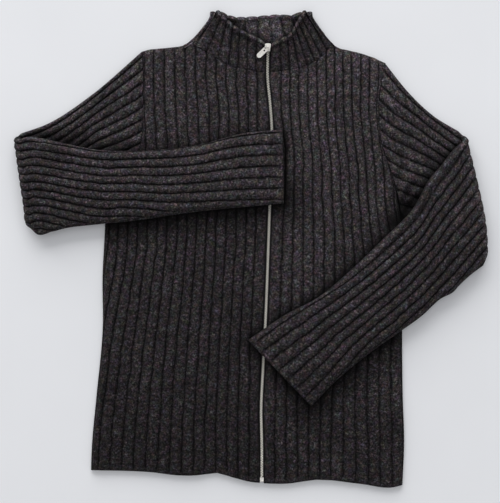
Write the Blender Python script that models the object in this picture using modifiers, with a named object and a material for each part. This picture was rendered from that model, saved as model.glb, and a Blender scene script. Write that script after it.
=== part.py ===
"""Ribbed zip cardigan with a funnel collar, laid flat with both sleeves folded over its front.

X runs across the garment, Y from the hem to the collar and Z up from the surface it lies on.
Right and left are the wearer's. The tables are in millimetres and the finished meshes in metres.
"""
import math
from collections import namedtuple

import bmesh
import bpy
from mathutils import Matrix, Vector

MM = 0.001

# Cloth
WALL = 3.0                  # knitted wall at a groove between ribs
RIB_RISE = 1.6              # height of a rib over its grooves
RIB_PARTS = (0.0, 0.24, 0.76)   # places across one rib: its groove and the two sides of its crest
SEAM_GAP = 0.3              # between two pieces at a seam
LAYER_GAP = 0.4             # between the back and a front that lies on it
SLEEVE_HOLLOW = 0.6         # between the two layers of a flattened sleeve
EDGE_ROUND = 7.0            # width over which a free edge rounds off
EDGE_SHARE = 0.55           # height of a panel's free edge, as a share of the wall
SNAP = 1.6                  # a rib column this near an edge lies on it
RIM_SLANT = 4.0             # how far a sleeve's inside ends short of the armhole
PLAIN_COLUMNS = 9           # columns across the plain inside of a sleeve
PLAIN_MARGIN = 4.0          # plain inside of a sleeve ends this far from its edges
FOLDED_RIB_SHARE = 0.4      # height left to a rib on the inner side of a fold
WELD = 0.01                 # points this near each other are one

FRONT_INSIDE = WALL + LAYER_GAP                             # height of a front's plain inside
SLEEVE_HALF = WALL + SLEEVE_HOLLOW / 2                      # half the height of a flat sleeve
FOLD_HEIGHT = 2 * SLEEVE_HALF + RIB_RISE + LAYER_GAP / 2    # height of the axis a sleeve folds round
FOLD_LEVER = FOLD_HEIGHT - SLEEVE_HALF                      # from that axis to the sleeve's middle
FOLD_REACH = FOLD_LEVER + SLEEVE_HALF + RIB_RISE            # from that axis to the folded edge
FOLD_TURNS = (0, 45, 90, 135, 180)                          # sections round a fold, in degrees
FOLD_SLIDE = {-1: 4.5, 1: 8.3}      # half of what a sleeve's ribs run along its slanted fold

# Zip
TAPE_WIDTH = 5.8
TAPE_HEIGHT = 1.6
CHAIN_WIDTH = 4.0
CHAIN_HEIGHT = 3.4
SLIDER_SIZE = (9.0, 11.5, 2.4)
SLIDER_WAIST = 0.74                     # width of the slider's lower end, as a share of its upper end
SLIDER_PLACE = (26.0, 301.8)
BAIL_OPEN = (4.0, 3.0)                  # length and height of the opening under the bail
BAIL_METAL = (1.4, 0.9, 1.2)            # the bail's width, leg thickness and top thickness
HINGE_RISE = 1.3                        # hinge of the pull tab, above the slider's top
PULL_LENGTH = 21.5                      # from the hinge to the tip of the pull tab
PULL_WIDTH = 7.6
PULL_THICK = 1.4
PULL_BAR = 1.2                          # bar that passes under the bail
PULL_WINDOW = (4.0, 5.8)                # length and width of the window beside that bar
PULL_CORNER = 1.0                       # slant of the corners at the bar's end
PULL_ARC_STEPS = 8                      # straight pieces round the tab's tip
PULL_TURN = 223.0                       # way the tab lies, in degrees round from +X
PULL_DIP = 4.6                          # slope of the tab down to the cloth, in degrees
STOP_SIZE = (5.4, 6.0, 3.4)             # box at the foot of the zip
SLIDER_BEVEL, BAIL_BEVEL, STOP_BEVEL = 0.7, 0.4, 0.6

# Line of the zip, from the hem up
ZipPoint = namedtuple("ZipPoint", "height across")
ZIP_LINE = [
    ZipPoint(-352, 17), ZipPoint(-296, 17), ZipPoint(-240, 16), ZipPoint(-177, 19),
    ZipPoint(-98, 23), ZipPoint(9, 27), ZipPoint(66, 29), ZipPoint(126, 31), ZipPoint(182, 32),
    ZipPoint(224, 29), ZipPoint(254, 26), ZipPoint(310, 26.5),
]
ZIP_FOOT = -343.0
ZIP_HEAD = 308.0

# Outer edges of the body, from the hem up past the underarm to the shoulder tips
BodyEdge = namedtuple("BodyEdge", "height right left")
BODY_EDGE = [
    BodyEdge(-352, -240.5, 228.5), BodyEdge(-290, -238.5, 231.5), BodyEdge(-226, -232.5, 229.5),
    BodyEdge(-114, -222.5, 228.5), BodyEdge(-46, -223, 229), BodyEdge(38, -219, 228),
    BodyEdge(78, -218, 222), BodyEdge(123, -179, 209), BodyEdge(160, -165, 197),
    BodyEdge(200, -162, 193), BodyEdge(231, -161, 194), BodyEdge(280, -162, 202),
    BodyEdge(300, -163, 204),
]

# Hem, across the garment
HemPoint = namedtuple("HemPoint", "across height")
HEM = [
    HemPoint(-240, -333), HemPoint(-151, -336), HemPoint(-106, -341), HemPoint(-83, -341),
    HemPoint(-53, -337), HemPoint(-23, -345), HemPoint(-1, -350.5), HemPoint(17, -352.5),
    HemPoint(52, -353.5), HemPoint(101, -347.5), HemPoint(164, -353.5), HemPoint(217, -358.5),
    HemPoint(230, -355),
]

# Shoulder seams, across the garment
ShoulderPoint = namedtuple("ShoulderPoint", "across height")
SHOULDER_RIGHT = [
    ShoulderPoint(-163, 297.5), ShoulderPoint(-151, 300.5), ShoulderPoint(-128, 302.5),
    ShoulderPoint(-104, 305.5), ShoulderPoint(-98, 311), ShoulderPoint(-92, 306),
]
SHOULDER_LEFT = [
    ShoulderPoint(120, 302.5), ShoulderPoint(127, 306), ShoulderPoint(134, 302),
    ShoulderPoint(167, 294.5), ShoulderPoint(187, 287.5), ShoulderPoint(202, 280),
]

# Grooves between the ribs of each front: where the 1st, 6th and 11th from the zip lie
Grooves = namedtuple("Grooves", "height first sixth eleventh")
GROOVES_RIGHT = [
    Grooves(-345, -3, -86, -176), Grooves(-279, -2, -85, -173), Grooves(-129, 1, -77, -158),
    Grooves(21, 8, -67, -140), Grooves(194, 11, -62, -143), Grooves(254, 10, -67, -146),
]
GROOVES_LEFT = [
    Grooves(-345, 36, 121, 214), Grooves(-249, 37, 121, 212), Grooves(-39, 47, 127, 205),
    Grooves(66, 50, 124, 190), Grooves(126, 52, 121, 187), Grooves(201, 47, 115, 179),
    Grooves(300, 47, 113, 179),
]
FRONT_RIBS = 18
FRONT_ROWS = (-290, -226, -114, -46, 38, 78, 123, 160, 231)
UPPER_ROW = 248.1           # halfway from the last of those rows to the neck beside the zip
HEM_ROUND = 6.0
HEM_LEVEL = -345            # heights at which the groove table is read for the rows at the hem
ABOVE_HEM_LEVEL = -339
TOP_LEVEL = 292             # and for the row at the neck and shoulder
BACK_HEM_INSET = 1.0        # the back's hem lies this far inside the fronts'

# Collar, at the grooves of each front part from the zip to the side: seam below and edge above
CollarLine = namedtuple("CollarLine", "seam_x seam_y edge_x edge_y")
COLLAR_RIGHT = [
    CollarLine(22.6, 265.5, 22.9, 309), CollarLine(8, 267, 10, 318), CollarLine(-5, 270, -4, 324),
    CollarLine(-19, 272, -16, 330), CollarLine(-32, 276, -26, 337), CollarLine(-47, 283.5, -34.5, 343.5),
    CollarLine(-61, 292.5, -42, 348.5), CollarLine(-76, 303, -47, 352),
]
COLLAR_LEFT = [
    CollarLine(29.3, 265.5, 30.1, 308), CollarLine(46, 267, 44, 315), CollarLine(59, 269, 55, 320),
    CollarLine(73, 271.5, 61.5, 327), CollarLine(85, 276, 66, 335), CollarLine(97, 282, 70, 342),
    CollarLine(107, 288, 73.5, 346.5), CollarLine(115, 297.5, 77, 350.5),
]
# Outline of the collar's two side folds
COLLAR_FOLD_RIGHT = CollarLine(-94, 311, -56, 358)
COLLAR_FOLD_LEFT = CollarLine(124, 309, 87.5, 358)
# Grooves of the collar's back, which shows its inner side
COLLAR_BACK = [
    CollarLine(-75, 301, -42, 353.5), CollarLine(-56, 299, -33, 351),
    CollarLine(-35, 297.5, -21.5, 348.5), CollarLine(-11, 297, -7, 348.5),
    CollarLine(12, 297, 10.5, 349.5), CollarLine(35, 297, 28, 351), CollarLine(58, 298, 44, 352),
    CollarLine(80, 299.5, 61, 349.5), CollarLine(101, 301, 74, 353.5),
]
NECK_FOOT = 265.2           # front neck seam beside the zip
COLLAR_LIFT = 2.2           # rise of the front collar from its seam to its edge
COLLAR_ROWS = (0.0, 0.45, 0.94, 1.0)
COLLAR_END_SHARE = 0.7      # thickness at the collar's seam and edge, as a share of the wall

# Sections of a sleeve from its armhole to its cuff: the ends of the section, how far it bows
# towards the fold, its first groove from the upper end, and the pitch of its ribs
SleeveSection = namedtuple("SleeveSection", "place top_x top_y low_x low_y bow first pitch")
SLEEVE_RIGHT = [
    SleeveSection("armhole", -163, 297.5, -218, 78, 0, 9.6, 18.9),
    SleeveSection("upper", -235.5, 236.5, -250, 60, 0, 7.5, 14.5),
    SleeveSection("upper", -301, 191.5, -286, 39, 0, 8, 12.5),
    SleeveSection("fold", -355, 168, -339, 34, -2.7, 9, 11.8),
    SleeveSection("fore", -333, 167.5, -319, 22, 0, 8.5, 11.8),
    SleeveSection("fore", -309, 165, -296, 26, 0, 7.5, 11.9),
    SleeveSection("fore", -278, 158, -276, 31, 0, 5, 12),
    SleeveSection("fore", -226, 148, -226, 37, 0, 3, 12),
    SleeveSection("fore", -166, 147, -166, 43, 0, 1, 12.2),
    SleeveSection("fore", -120, 150, -120, 50, 0, 1, 13.2),
    SleeveSection("fore", -76, 156, -76, 56, 0, 1, 14.1),
    SleeveSection("fore", -16, 172, -16, 62, 0, 4, 15.7),
    SleeveSection("fore", 48, 179, 50, 68, 0, 4.5, 16.7),
]
SLEEVE_LEFT = [
    SleeveSection("armhole", 202, 280, 228, 38, 0, 12, 22.5),
    SleeveSection("upper", 236, 237.5, 256, 22, 0, 9, 19),
    SleeveSection("upper", 277, 199, 299, -6, 0, 8, 16.2),
    SleeveSection("fold", 325, 168, 356, -15, 5.8, 10, 17.3),
    SleeveSection("fore", 302, 147.5, 331, -37, 1.8, 20, 17.1),
    SleeveSection("fore", 283, 123, 310.5, -56, 0, 20, 17.1),
    SleeveSection("fore", 269, 107, 304, -63.5, 0, 22, 16.1),
    SleeveSection("fore", 245, 64, 284, -74.5, 0, 17, 14),
    SleeveSection("fore", 197, 14, 256, -100, 0, 14, 13),
    SleeveSection("fore", 149, -32, 220, -126, 0, 10, 12.8),
    SleeveSection("fore", 101, -72, 173, -159.5, 0, 4.5, 13.8),
    SleeveSection("fore", 52, -98, 127, -198, 0, 8, 16.6),
    SleeveSection("fore", -4, -136, 91, -235, 0, 9, 18.6),
]
SLEEVE_RIBS = 15
BOW_SHAPE = 6.75            # makes the bow whole two thirds of the way down a section

# Materials: colour, roughness, metallic
WOOL = ((0.024, 0.021, 0.023, 1.0), 0.95, 0.0)
ZIP_METAL = ((0.55, 0.54, 0.52, 1.0), 0.32, 1.0)


def clear_scene():
    for thing in list(bpy.data.objects):
        bpy.data.objects.remove(thing, do_unlink=True)


def read(table, key, at, value):
    """Value in a column of a table, at a place along its rising key column."""
    places = [getattr(row, key) for row in table]
    values = [getattr(row, value) for row in table]
    if at <= places[0]:
        return values[0]
    for i in range(1, len(table)):
        if at <= places[i]:
            share = (at - places[i - 1]) / (places[i] - places[i - 1])
            return values[i - 1] + share * (values[i] - values[i - 1])
    return values[-1]


def mix(a, b, share):
    return a + (b - a) * share


def rib_columns(ribs):
    """Rib numbers of the columns of a wall: whole numbers are grooves."""
    return [rib + part for rib in range(ribs) for part in RIB_PARTS] + [ribs]


def rib_rise(number):
    """Share of a rib's height at a rib number."""
    within = number % 1.0
    return min(1.0, min(within, 1.0 - within) / RIB_PARTS[1])


def make_material(name, finish):
    colour, roughness, metallic = finish
    material = bpy.data.materials.new(name)
    material.use_nodes = True
    shader = material.node_tree.nodes["Principled BSDF"]
    shader.inputs["Base Color"].default_value = colour
    shader.inputs["Roughness"].default_value = roughness
    shader.inputs["Metallic"].default_value = metallic
    material.diffuse_color = colour
    return material


def finish_solid(name, mesh_data, material, collection):
    """Weld a wall built in millimetres and make it an object in metres."""
    bmesh.ops.remove_doubles(mesh_data, verts=mesh_data.verts, dist=WELD)
    bmesh.ops.dissolve_degenerate(mesh_data, edges=mesh_data.edges, dist=WELD)
    bmesh.ops.recalc_face_normals(mesh_data, faces=mesh_data.faces)
    bmesh.ops.scale(mesh_data, vec=(MM, MM, MM), verts=mesh_data.verts)
    mesh = bpy.data.meshes.new(name)
    mesh_data.to_mesh(mesh)
    mesh_data.free()
    piece = bpy.data.objects.new(name, mesh)
    piece.data.materials.append(material)
    collection.objects.link(piece)
    return piece


def add_grid(mesh_data, rows, closed=False):
    """Faces between rows of points, each row joined to itself when closed."""
    verts = [[mesh_data.verts.new(point) for point in row] for row in rows]
    for low, high in zip(verts, verts[1:]):
        count = len(low)
        for i in range(count if closed else count - 1):
            j = (i + 1) % count
            mesh_data.faces.new((low[i], low[j], high[j], high[i]))
    return verts


def drop_to_plain(mesh_data, height):
    """Close a panel's upper side with its rim and one flat face, its plain inside."""
    bmesh.ops.remove_doubles(mesh_data, verts=mesh_data.verts, dist=WELD)
    rim = [edge for edge in mesh_data.edges if edge.is_boundary]
    walls = bmesh.ops.extrude_edge_only(mesh_data, edges=rim)["geom"]
    for vert in (part for part in walls if isinstance(part, bmesh.types.BMVert)):
        vert.co.z = height
    low_rim = [part for part in walls if isinstance(part, bmesh.types.BMEdge) and part.is_boundary]
    bmesh.ops.edgeloop_fill(mesh_data, edges=low_rim)


def zip_edge(height, side):
    """Edge of a front beside the zip, up to the neck."""
    middle = read(ZIP_LINE, "height", min(height, NECK_FOOT), "across")
    return middle + side * (TAPE_WIDTH / 2 + SEAM_GAP)


def outer_edge(height, side):
    return read(BODY_EDGE, "height", height, "left" if side > 0 else "right")


def neck_points(side):
    """Front neck seam of one side, from the shoulder to the zip, by rising distance across."""
    lines = COLLAR_LEFT if side > 0 else COLLAR_RIGHT
    points = [ShoulderPoint(line.seam_x, line.seam_y - SEAM_GAP) for line in lines]
    return points if side > 0 else points[::-1]


def top_points(side):
    """Corners of a front's top, along its neck seam and its shoulder seam."""
    if side > 0:
        return neck_points(side) + SHOULDER_LEFT
    return SHOULDER_RIGHT + neck_points(side)


def top_edge(across, side):
    return read(top_points(side), "across", across, "height")


def rib_across(table, height, number, side):
    """Distance across of a rib number, counted out from the zip, at a height."""
    edge = zip_edge(height, side)
    first = read(table, "height", height, "first")
    sixth = read(table, "height", height, "sixth")
    eleventh = read(table, "height", height, "eleventh")
    if number < 1:
        return mix(edge, first, number)
    if number < 6:
        return mix(first, sixth, (number - 1) / 5)
    return mix(sixth, eleventh, (number - 6) / 5)


def front_row(table, level, side):
    """Points in plan along one row of a front, each with its distance from a free edge."""
    heights = {
        "hem": HEM_LEVEL, "above hem": ABOVE_HEM_LEVEL, "below top": UPPER_ROW, "top": TOP_LEVEL,
    }
    height = heights.get(level, level)
    limit = outer_edge(height, side)
    places = []
    for number in rib_columns(FRONT_RIBS):
        across = rib_across(table, height, number, side)
        places.append(limit if (limit - across) * side < SNAP else across)
    if level == "top":
        for corner in top_points(side)[1:-1]:
            nearest = min(range(1, len(places) - 1), key=lambda i: abs(places[i] - corner.across))
            if places[nearest] != limit:
                places[nearest] = corner.across
    row = []
    for across in places:
        free = min(abs(across - zip_edge(height, side)), abs(limit - across))
        if level == "hem":
            row.append((across, read(HEM, "across", across, "height"), 0.0))
        elif level == "above hem":
            row.append((across, read(HEM, "across", across, "height") + HEM_ROUND, free))
        elif level == "below top":
            row.append((across, mix(FRONT_ROWS[-1], top_edge(across, side), 0.5), free))
        elif level == "top":
            row.append((across, top_edge(across, side), free))
        else:
            row.append((across, height, free))
    return row


def make_front(name, side, material, collection):
    """One front panel: ribs raised on its upper side over a plain inside."""
    table = GROOVES_LEFT if side > 0 else GROOVES_RIGHT
    rows = []
    for level in ("hem", "above hem") + FRONT_ROWS + ("below top", "top"):
        row = []
        for number, (across, height, free) in zip(rib_columns(FRONT_RIBS), front_row(table, level, side)):
            near = min(1.0, free / EDGE_ROUND)
            share = mix(EDGE_SHARE, 1.0, math.sin(near * math.pi / 2))
            rise = WALL * share + RIB_RISE * rib_rise(number) * near
            row.append((across, height, FRONT_INSIDE + rise))
        rows.append(row)
    mesh_data = bmesh.new()
    add_grid(mesh_data, rows)
    drop_to_plain(mesh_data, FRONT_INSIDE)
    return finish_solid(name, mesh_data, material, collection)


def make_back(material, collection):
    """Back panel, which lies flat on its outer side under the fronts."""
    tip_right = SHOULDER_RIGHT[0].height
    tip_left = SHOULDER_LEFT[-1].height
    outline = [(edge.right, edge.height) for edge in BODY_EDGE[1:] if edge.height < tip_right]
    outline += [(point.across, point.height) for point in SHOULDER_RIGHT]
    outline += [(line.seam_x, line.seam_y - SEAM_GAP) for line in COLLAR_BACK]
    outline += [(point.across, point.height) for point in SHOULDER_LEFT]
    outline += [(edge.left, edge.height) for edge in BODY_EDGE[:0:-1] if edge.height < tip_left]
    outline += [(point.across, point.height + BACK_HEM_INSET) for point in reversed(HEM)]
    mesh_data = bmesh.new()
    verts = add_grid(mesh_data, [[(x, y, z) for x, y in outline] for z in (0.0, WALL)], closed=True)
    mesh_data.faces.new(verts[0])
    mesh_data.faces.new(verts[-1])
    return finish_solid("back", mesh_data, material, collection)


def section_point(section, distance, outward):
    """Point in plan at a distance along a sleeve's section."""
    length = section_length(section)
    share = distance / length
    if section.place == "armhole":
        side = 1 if section.top_x > 0 else -1
        height = mix(section.top_y, section.low_y, share)
        return Vector((outer_edge(height, side) + side * SEAM_GAP, height))
    top = Vector((section.top_x, section.top_y))
    low = Vector((section.low_x, section.low_y))
    return top.lerp(low, share) + outward * section.bow * BOW_SHAPE * share ** 2 * (1 - share)


def section_length(section):
    return math.hypot(section.top_x - section.low_x, section.top_y - section.low_y)


def fold_outward(sections):
    """Level direction in which a sleeve's folded edge points."""
    fold = next(section for section in sections if section.place == "fold")
    along = Vector((fold.low_x - fold.top_x, fold.low_y - fold.top_y)).normalized()
    side = 1 if fold.top_x > 0 else -1
    return Vector((-along.y, along.x)) * side


def fold_shift(section, turn, outward):
    """Where a section at the fold lies from the folded edge: inwards, and along with its ribs."""
    side = 1 if section.top_x > 0 else -1
    along = Vector((outward.y, -outward.x)) * side
    slide = FOLD_SLIDE[side] * (1 - math.sin(math.radians(turn)))
    return along * (slide if turn > 90 else -slide) - outward * FOLD_REACH


def sleeve_ring(section, turn, outward):
    """Outer and inner points of a flattened sleeve at one section, with their place round it.

    The upper arm lies on the surface (turn 0) and the forearm upside down on it (turn 180).
    """
    length = section_length(section)
    lean = math.radians(turn)

    def place(distance, height, inset=0.0):
        point = section_point(section, distance, outward)
        if section.place == "armhole":
            point.x += inset if section.top_x > 0 else -inset
        if section.place == "fold":
            point += fold_shift(section, turn, outward)
        lever = FOLD_LEVER - height
        point = point + outward * lever * math.sin(lean)
        return (point.x, point.y, FOLD_HEIGHT - lever * math.cos(lean))

    def outer_height(distance, number, side):
        free = min(1.0, min(distance, length - distance) / EDGE_ROUND)
        round_off = math.sqrt(1.0 - (1.0 - free) ** 2)
        under_arm = side < 0 and turn == 0
        squeezed = FOLDED_RIB_SHARE if side > 0 and 0 < turn < 180 else 1.0
        rise = 0.0 if under_arm else RIB_RISE * rib_rise(number) * squeezed
        return side * (SLEEVE_HALF + rise) * round_off

    columns = []
    for number in rib_columns(SLEEVE_RIBS):
        if number < 1:
            distance = number * section.first
        else:
            distance = section.first + (number - 1) * section.pitch
        if distance > length - SNAP:
            distance = length
        columns.append([distance, number])
    if section.place == "armhole":
        for edge in BODY_EDGE:
            corner = (section.top_y - edge.height) / (section.top_y - section.low_y) * length
            if RIM_SLANT < corner < length - RIM_SLANT:
                min(columns, key=lambda column: abs(column[0] - corner))[0] = corner
    outer = []
    for distance, number in columns:
        outer.append((distance / length, place(distance, outer_height(distance, number, 1))))
    for distance, number in reversed(columns[1:-1]):
        outer.append((2 - distance / length, place(distance, outer_height(distance, number, -1))))
    inner = []
    for side in (1, -1):
        steps = range(PLAIN_COLUMNS) if side > 0 else reversed(range(PLAIN_COLUMNS))
        for step in steps:
            distance = mix(PLAIN_MARGIN, length - PLAIN_MARGIN, step / (PLAIN_COLUMNS - 1))
            share = distance / length if side > 0 else 2 - distance / length
            inner.append((share, place(distance, side * SLEEVE_HOLLOW / 2, RIM_SLANT)))
    return outer, inner


def close_rim(mesh_data, outer, outer_shares, inner, inner_shares):
    """Faces between two rings of unlike count at an open end, in step with their places round it."""
    count_out, count_in = len(outer), len(inner)
    i = j = 0
    while i < count_out or j < count_in:
        next_out = outer_shares[i + 1] if i + 1 < count_out else 2.0
        next_in = inner_shares[j + 1] if j + 1 < count_in else 2.0 + inner_shares[0]
        corner_out = outer[i % count_out]
        corner_in = inner[j % count_in]
        if j >= count_in or (i < count_out and next_out <= next_in):
            i += 1
            corners = (corner_out, outer[i % count_out], corner_in)
        else:
            j += 1
            corners = (corner_out, inner[j % count_in], corner_in)
        if len(set(corners)) == 3:
            mesh_data.faces.new(corners)


def make_sleeve(name, sections, material, collection):
    """A sleeve as one flattened ribbed tube, folded over on itself at the elbow."""
    outward = fold_outward(sections)
    rings = []
    for section in sections:
        if section.place == "fold":
            rings += [sleeve_ring(section, turn, outward) for turn in FOLD_TURNS]
        else:
            turn = 180 if section.place == "fore" else 0
            rings.append(sleeve_ring(section, turn, outward))
    mesh_data = bmesh.new()
    outer = add_grid(mesh_data, [[point for _, point in ring[0]] for ring in rings], closed=True)
    inner = add_grid(mesh_data, [[point for _, point in ring[1]] for ring in rings], closed=True)
    for end in (0, -1):
        outer_shares = [share for share, _ in rings[end][0]]
        inner_shares = [share for share, _ in rings[end][1]]
        close_rim(mesh_data, outer[end], outer_shares, inner[end], inner_shares)
    return finish_solid(name, mesh_data, material, collection)


def collar_part(lines, upper):
    """Wall rows up the collar at each column of its ribs, between the grooves of a table."""
    rows = []
    for i in range(len(lines) - 1):
        for part in RIB_PARTS:
            values = [mix(a, b, part) for a, b in zip(lines[i], lines[i + 1])]
            rows.append(collar_wall_row(CollarLine(*values), part, upper))
    rows.append(collar_wall_row(lines[-1], 0.0, upper))
    return rows


def collar_fold(outline, side, up):
    """Sections of the wall round a side fold: point, facing and rib share, for each collar row."""
    along = Vector((outline.edge_x - outline.seam_x, outline.edge_y - outline.seam_y)).normalized()
    outward = Vector((along.y, -along.x)) * side
    stations = []
    for turn in FOLD_TURNS if up else reversed(FOLD_TURNS):
        lean = math.radians(turn)
        row = []
        for share in COLLAR_ROWS:
            reach = (WALL + LAYER_GAP + COLLAR_LIFT * share) / 2
            seam = Vector((outline.seam_x, outline.seam_y))
            edge = Vector((outline.edge_x, outline.edge_y))
            axis = seam.lerp(edge, share) - outward * (reach + WALL / 2 + RIB_RISE)
            facing = Vector((outward.x * math.sin(lean), outward.y * math.sin(lean), math.cos(lean)))
            middle = Vector((axis.x, axis.y, WALL / 2 + reach)) + facing * reach
            row.append((middle, facing, math.sin(lean), 0.0))
        stations.append(row)
    return stations


def collar_wall_row(line, number, upper):
    """Middle points of the wall up one line of the collar, with facing and rib shares."""
    row = []
    for share in COLLAR_ROWS:
        across = mix(line.seam_x, line.edge_x, share)
        height = mix(line.seam_y, line.edge_y, share)
        rise = rib_rise(number)
        if upper:
            middle = Vector((across, height, FRONT_INSIDE + COLLAR_LIFT * share + WALL / 2))
            row.append((middle, Vector((0, 0, 1)), rise, 0.0))
        else:
            middle = Vector((across, height, WALL / 2))
            row.append((middle, Vector((0, 0, -1)), 0.0, rise * share))
    return row


def make_collar(material, collection):
    """Funnel collar: one ribbed strip round the neck, folded flat at both sides."""
    stations = collar_part(COLLAR_RIGHT, True)
    stations += collar_fold(COLLAR_FOLD_RIGHT, -1, True)
    stations += collar_part(COLLAR_BACK, False)
    stations += collar_fold(COLLAR_FOLD_LEFT, 1, False)
    stations += collar_part(COLLAR_LEFT, True)[::-1]
    rings = []
    for index, row in enumerate(stations):
        at_end = index in (0, len(stations) - 1)
        outer = []
        inner = []
        for share, (middle, facing, outer_rib, inner_rib) in zip(COLLAR_ROWS, row):
            half = WALL / 2 * (COLLAR_END_SHARE if share in (0.0, 1.0) or at_end else 1.0)
            plain = 0.0 if at_end else 1.0
            resting = outer_rib == 0 and facing.z < 0
            outer_half = WALL / 2 if resting else half
            outer.append(middle + facing * (outer_half + RIB_RISE * outer_rib * plain))
            inner.append(middle - facing * (half + RIB_RISE * inner_rib * plain))
        rings.append(outer + inner[::-1])
    mesh_data = bmesh.new()
    verts = add_grid(mesh_data, rings, closed=True)
    mesh_data.faces.new(verts[0])
    mesh_data.faces.new(verts[-1])
    return finish_solid("collar", mesh_data, material, collection)


def zip_base(height):
    """Height of the zip tape's underside, which rises with the collar."""
    seam = COLLAR_RIGHT[0].seam_y
    edge = COLLAR_RIGHT[0].edge_y
    share = min(1.0, max(0.0, (height - seam) / (edge - seam)))
    return FRONT_INSIDE + COLLAR_LIFT * share


def make_zip(material, collection):
    """Zip tape with its closed chain standing up along the middle."""
    heights = (ZIP_FOOT,) + FRONT_ROWS + (UPPER_ROW, NECK_FOOT, ZIP_HEAD)
    half_tape = TAPE_WIDTH / 2
    half_chain = CHAIN_WIDTH / 2
    right_half = [
        (half_tape, 0), (half_tape, TAPE_HEIGHT), (half_chain, TAPE_HEIGHT), (half_chain, CHAIN_HEIGHT),
    ]
    section = right_half + [(-x, z) for x, z in reversed(right_half)]
    rows = []
    for height in heights:
        middle = read(ZIP_LINE, "height", height, "across")
        rows.append([(middle + x, height, zip_base(height) + z) for x, z in section])
    mesh_data = bmesh.new()
    verts = add_grid(mesh_data, rows, closed=True)
    mesh_data.faces.new(verts[0])
    mesh_data.faces.new(verts[-1])
    return finish_solid("zip", mesh_data, material, collection)


def add_box(name, size, centre, collection):
    """A box primitive at its real size and place, both in millimetres."""
    mesh_data = bmesh.new()
    bmesh.ops.create_cube(mesh_data, size=1.0)
    bmesh.ops.scale(mesh_data, vec=[length * MM for length in size], verts=mesh_data.verts)
    bmesh.ops.translate(mesh_data, vec=[place * MM for place in centre], verts=mesh_data.verts)
    mesh = bpy.data.meshes.new(name)
    mesh_data.to_mesh(mesh)
    mesh_data.free()
    piece = bpy.data.objects.new(name, mesh)
    collection.objects.link(piece)
    return piece


def add_bevel(piece, width):
    bevel = piece.modifiers.new("soft edges", "BEVEL")
    bevel.width = width * MM
    bevel.segments = 2
    bevel.limit_method = "ANGLE"
    return bevel


def slider_floor():
    """Height of the slider's underside, just above the chain."""
    return zip_base(SLIDER_PLACE[1] + SLIDER_SIZE[1] / 2) + CHAIN_HEIGHT + SEAM_GAP


def hinge_height():
    """Height of the pull's hinge, in the opening under the bail."""
    return slider_floor() + SLIDER_SIZE[2] + HINGE_RISE


def make_slider(material, collection, cutters):
    """Slider body, narrower at its lower end, with the arched bail on top."""
    across, height = SLIDER_PLACE
    width, length, thick = SLIDER_SIZE
    floor = slider_floor()
    body = add_box("zip_slider", SLIDER_SIZE, (across, height, floor + thick / 2), collection)
    for vert in body.data.vertices:
        if vert.co.y < height * MM:
            vert.co.x = mix(across * MM, vert.co.x, SLIDER_WAIST)
    add_bevel(body, SLIDER_BEVEL)
    metal_width, leg, top = BAIL_METAL
    open_length, open_height = BAIL_OPEN
    arch_size = (metal_width, open_length + 2 * leg, open_height + top + thick / 2)
    arch_place = (across, height, floor + thick / 2 + arch_size[2] / 2)
    arch = add_box("bail_block", arch_size, arch_place, cutters)
    add_bevel(arch, BAIL_BEVEL)
    opening_size = (width, open_length, open_height)
    opening_place = (across, height, floor + thick + open_height / 2)
    opening = add_box("bail_opening", opening_size, opening_place, cutters)
    for guide in (arch, opening):
        guide.hide_render = True
        guide.display_type = "WIRE"
    for operation, other in (("UNION", arch), ("DIFFERENCE", opening)):
        step = body.modifiers.new(operation.lower(), "BOOLEAN")
        step.operation = operation
        step.object = other
    body.data.materials.append(material)
    return body


def make_pull(material, collection):
    """Pull tab with the window that loops it round the bail, hinged on its end bar."""
    outline = bpy.data.curves.new("pull_outline", "CURVE")
    outline.dimensions = "2D"
    outline.fill_mode = "BOTH"
    outline.extrude = PULL_THICK / 2 * MM
    half = PULL_WIDTH / 2
    end = PULL_LENGTH - half
    start = -PULL_BAR / 2
    corner = PULL_CORNER
    edge = [(start, -half + corner), (start + corner, -half)]
    for step in range(PULL_ARC_STEPS + 1):
        angle = math.radians(-90 + 180 * step / PULL_ARC_STEPS)
        edge.append((end + half * math.cos(angle), half * math.sin(angle)))
    edge += [(start + corner, half), (start, half - corner)]
    near = PULL_BAR / 2
    far = near + PULL_WINDOW[0]
    side = PULL_WINDOW[1] / 2
    window = [(near, -side), (near, side), (far, side), (far, -side)]
    for points in (edge, window):
        spline = outline.splines.new("POLY")
        spline.points.add(len(points) - 1)
        for point, (x, y) in zip(spline.points, points):
            point.co = (x * MM, y * MM, 0.0, 1.0)
        spline.use_cyclic_u = True
    flat = bpy.data.objects.new("pull_flat", outline)
    collection.objects.link(flat)
    bpy.context.view_layer.update()
    mesh = bpy.data.meshes.new_from_object(flat.evaluated_get(bpy.context.evaluated_depsgraph_get()))
    bpy.data.objects.remove(flat, do_unlink=True)
    mesh_data = bmesh.new()
    mesh_data.from_mesh(mesh)
    bmesh.ops.remove_doubles(mesh_data, verts=mesh_data.verts, dist=WELD * MM)
    bmesh.ops.recalc_face_normals(mesh_data, faces=mesh_data.faces)
    mesh_data.to_mesh(mesh)
    mesh_data.free()
    mesh.name = "zip_pull"
    pull = bpy.data.objects.new("zip_pull", mesh)
    mesh.materials.clear()
    mesh.materials.append(material)
    collection.objects.link(pull)
    across, height = SLIDER_PLACE
    turn = Matrix.Rotation(math.radians(PULL_TURN), 4, "Z")
    dip = Matrix.Rotation(math.radians(PULL_DIP), 4, "Y")
    hinge = Vector((across * MM, height * MM, hinge_height() * MM))
    pull.matrix_world = Matrix.Translation(hinge) @ turn @ dip
    return pull


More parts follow.
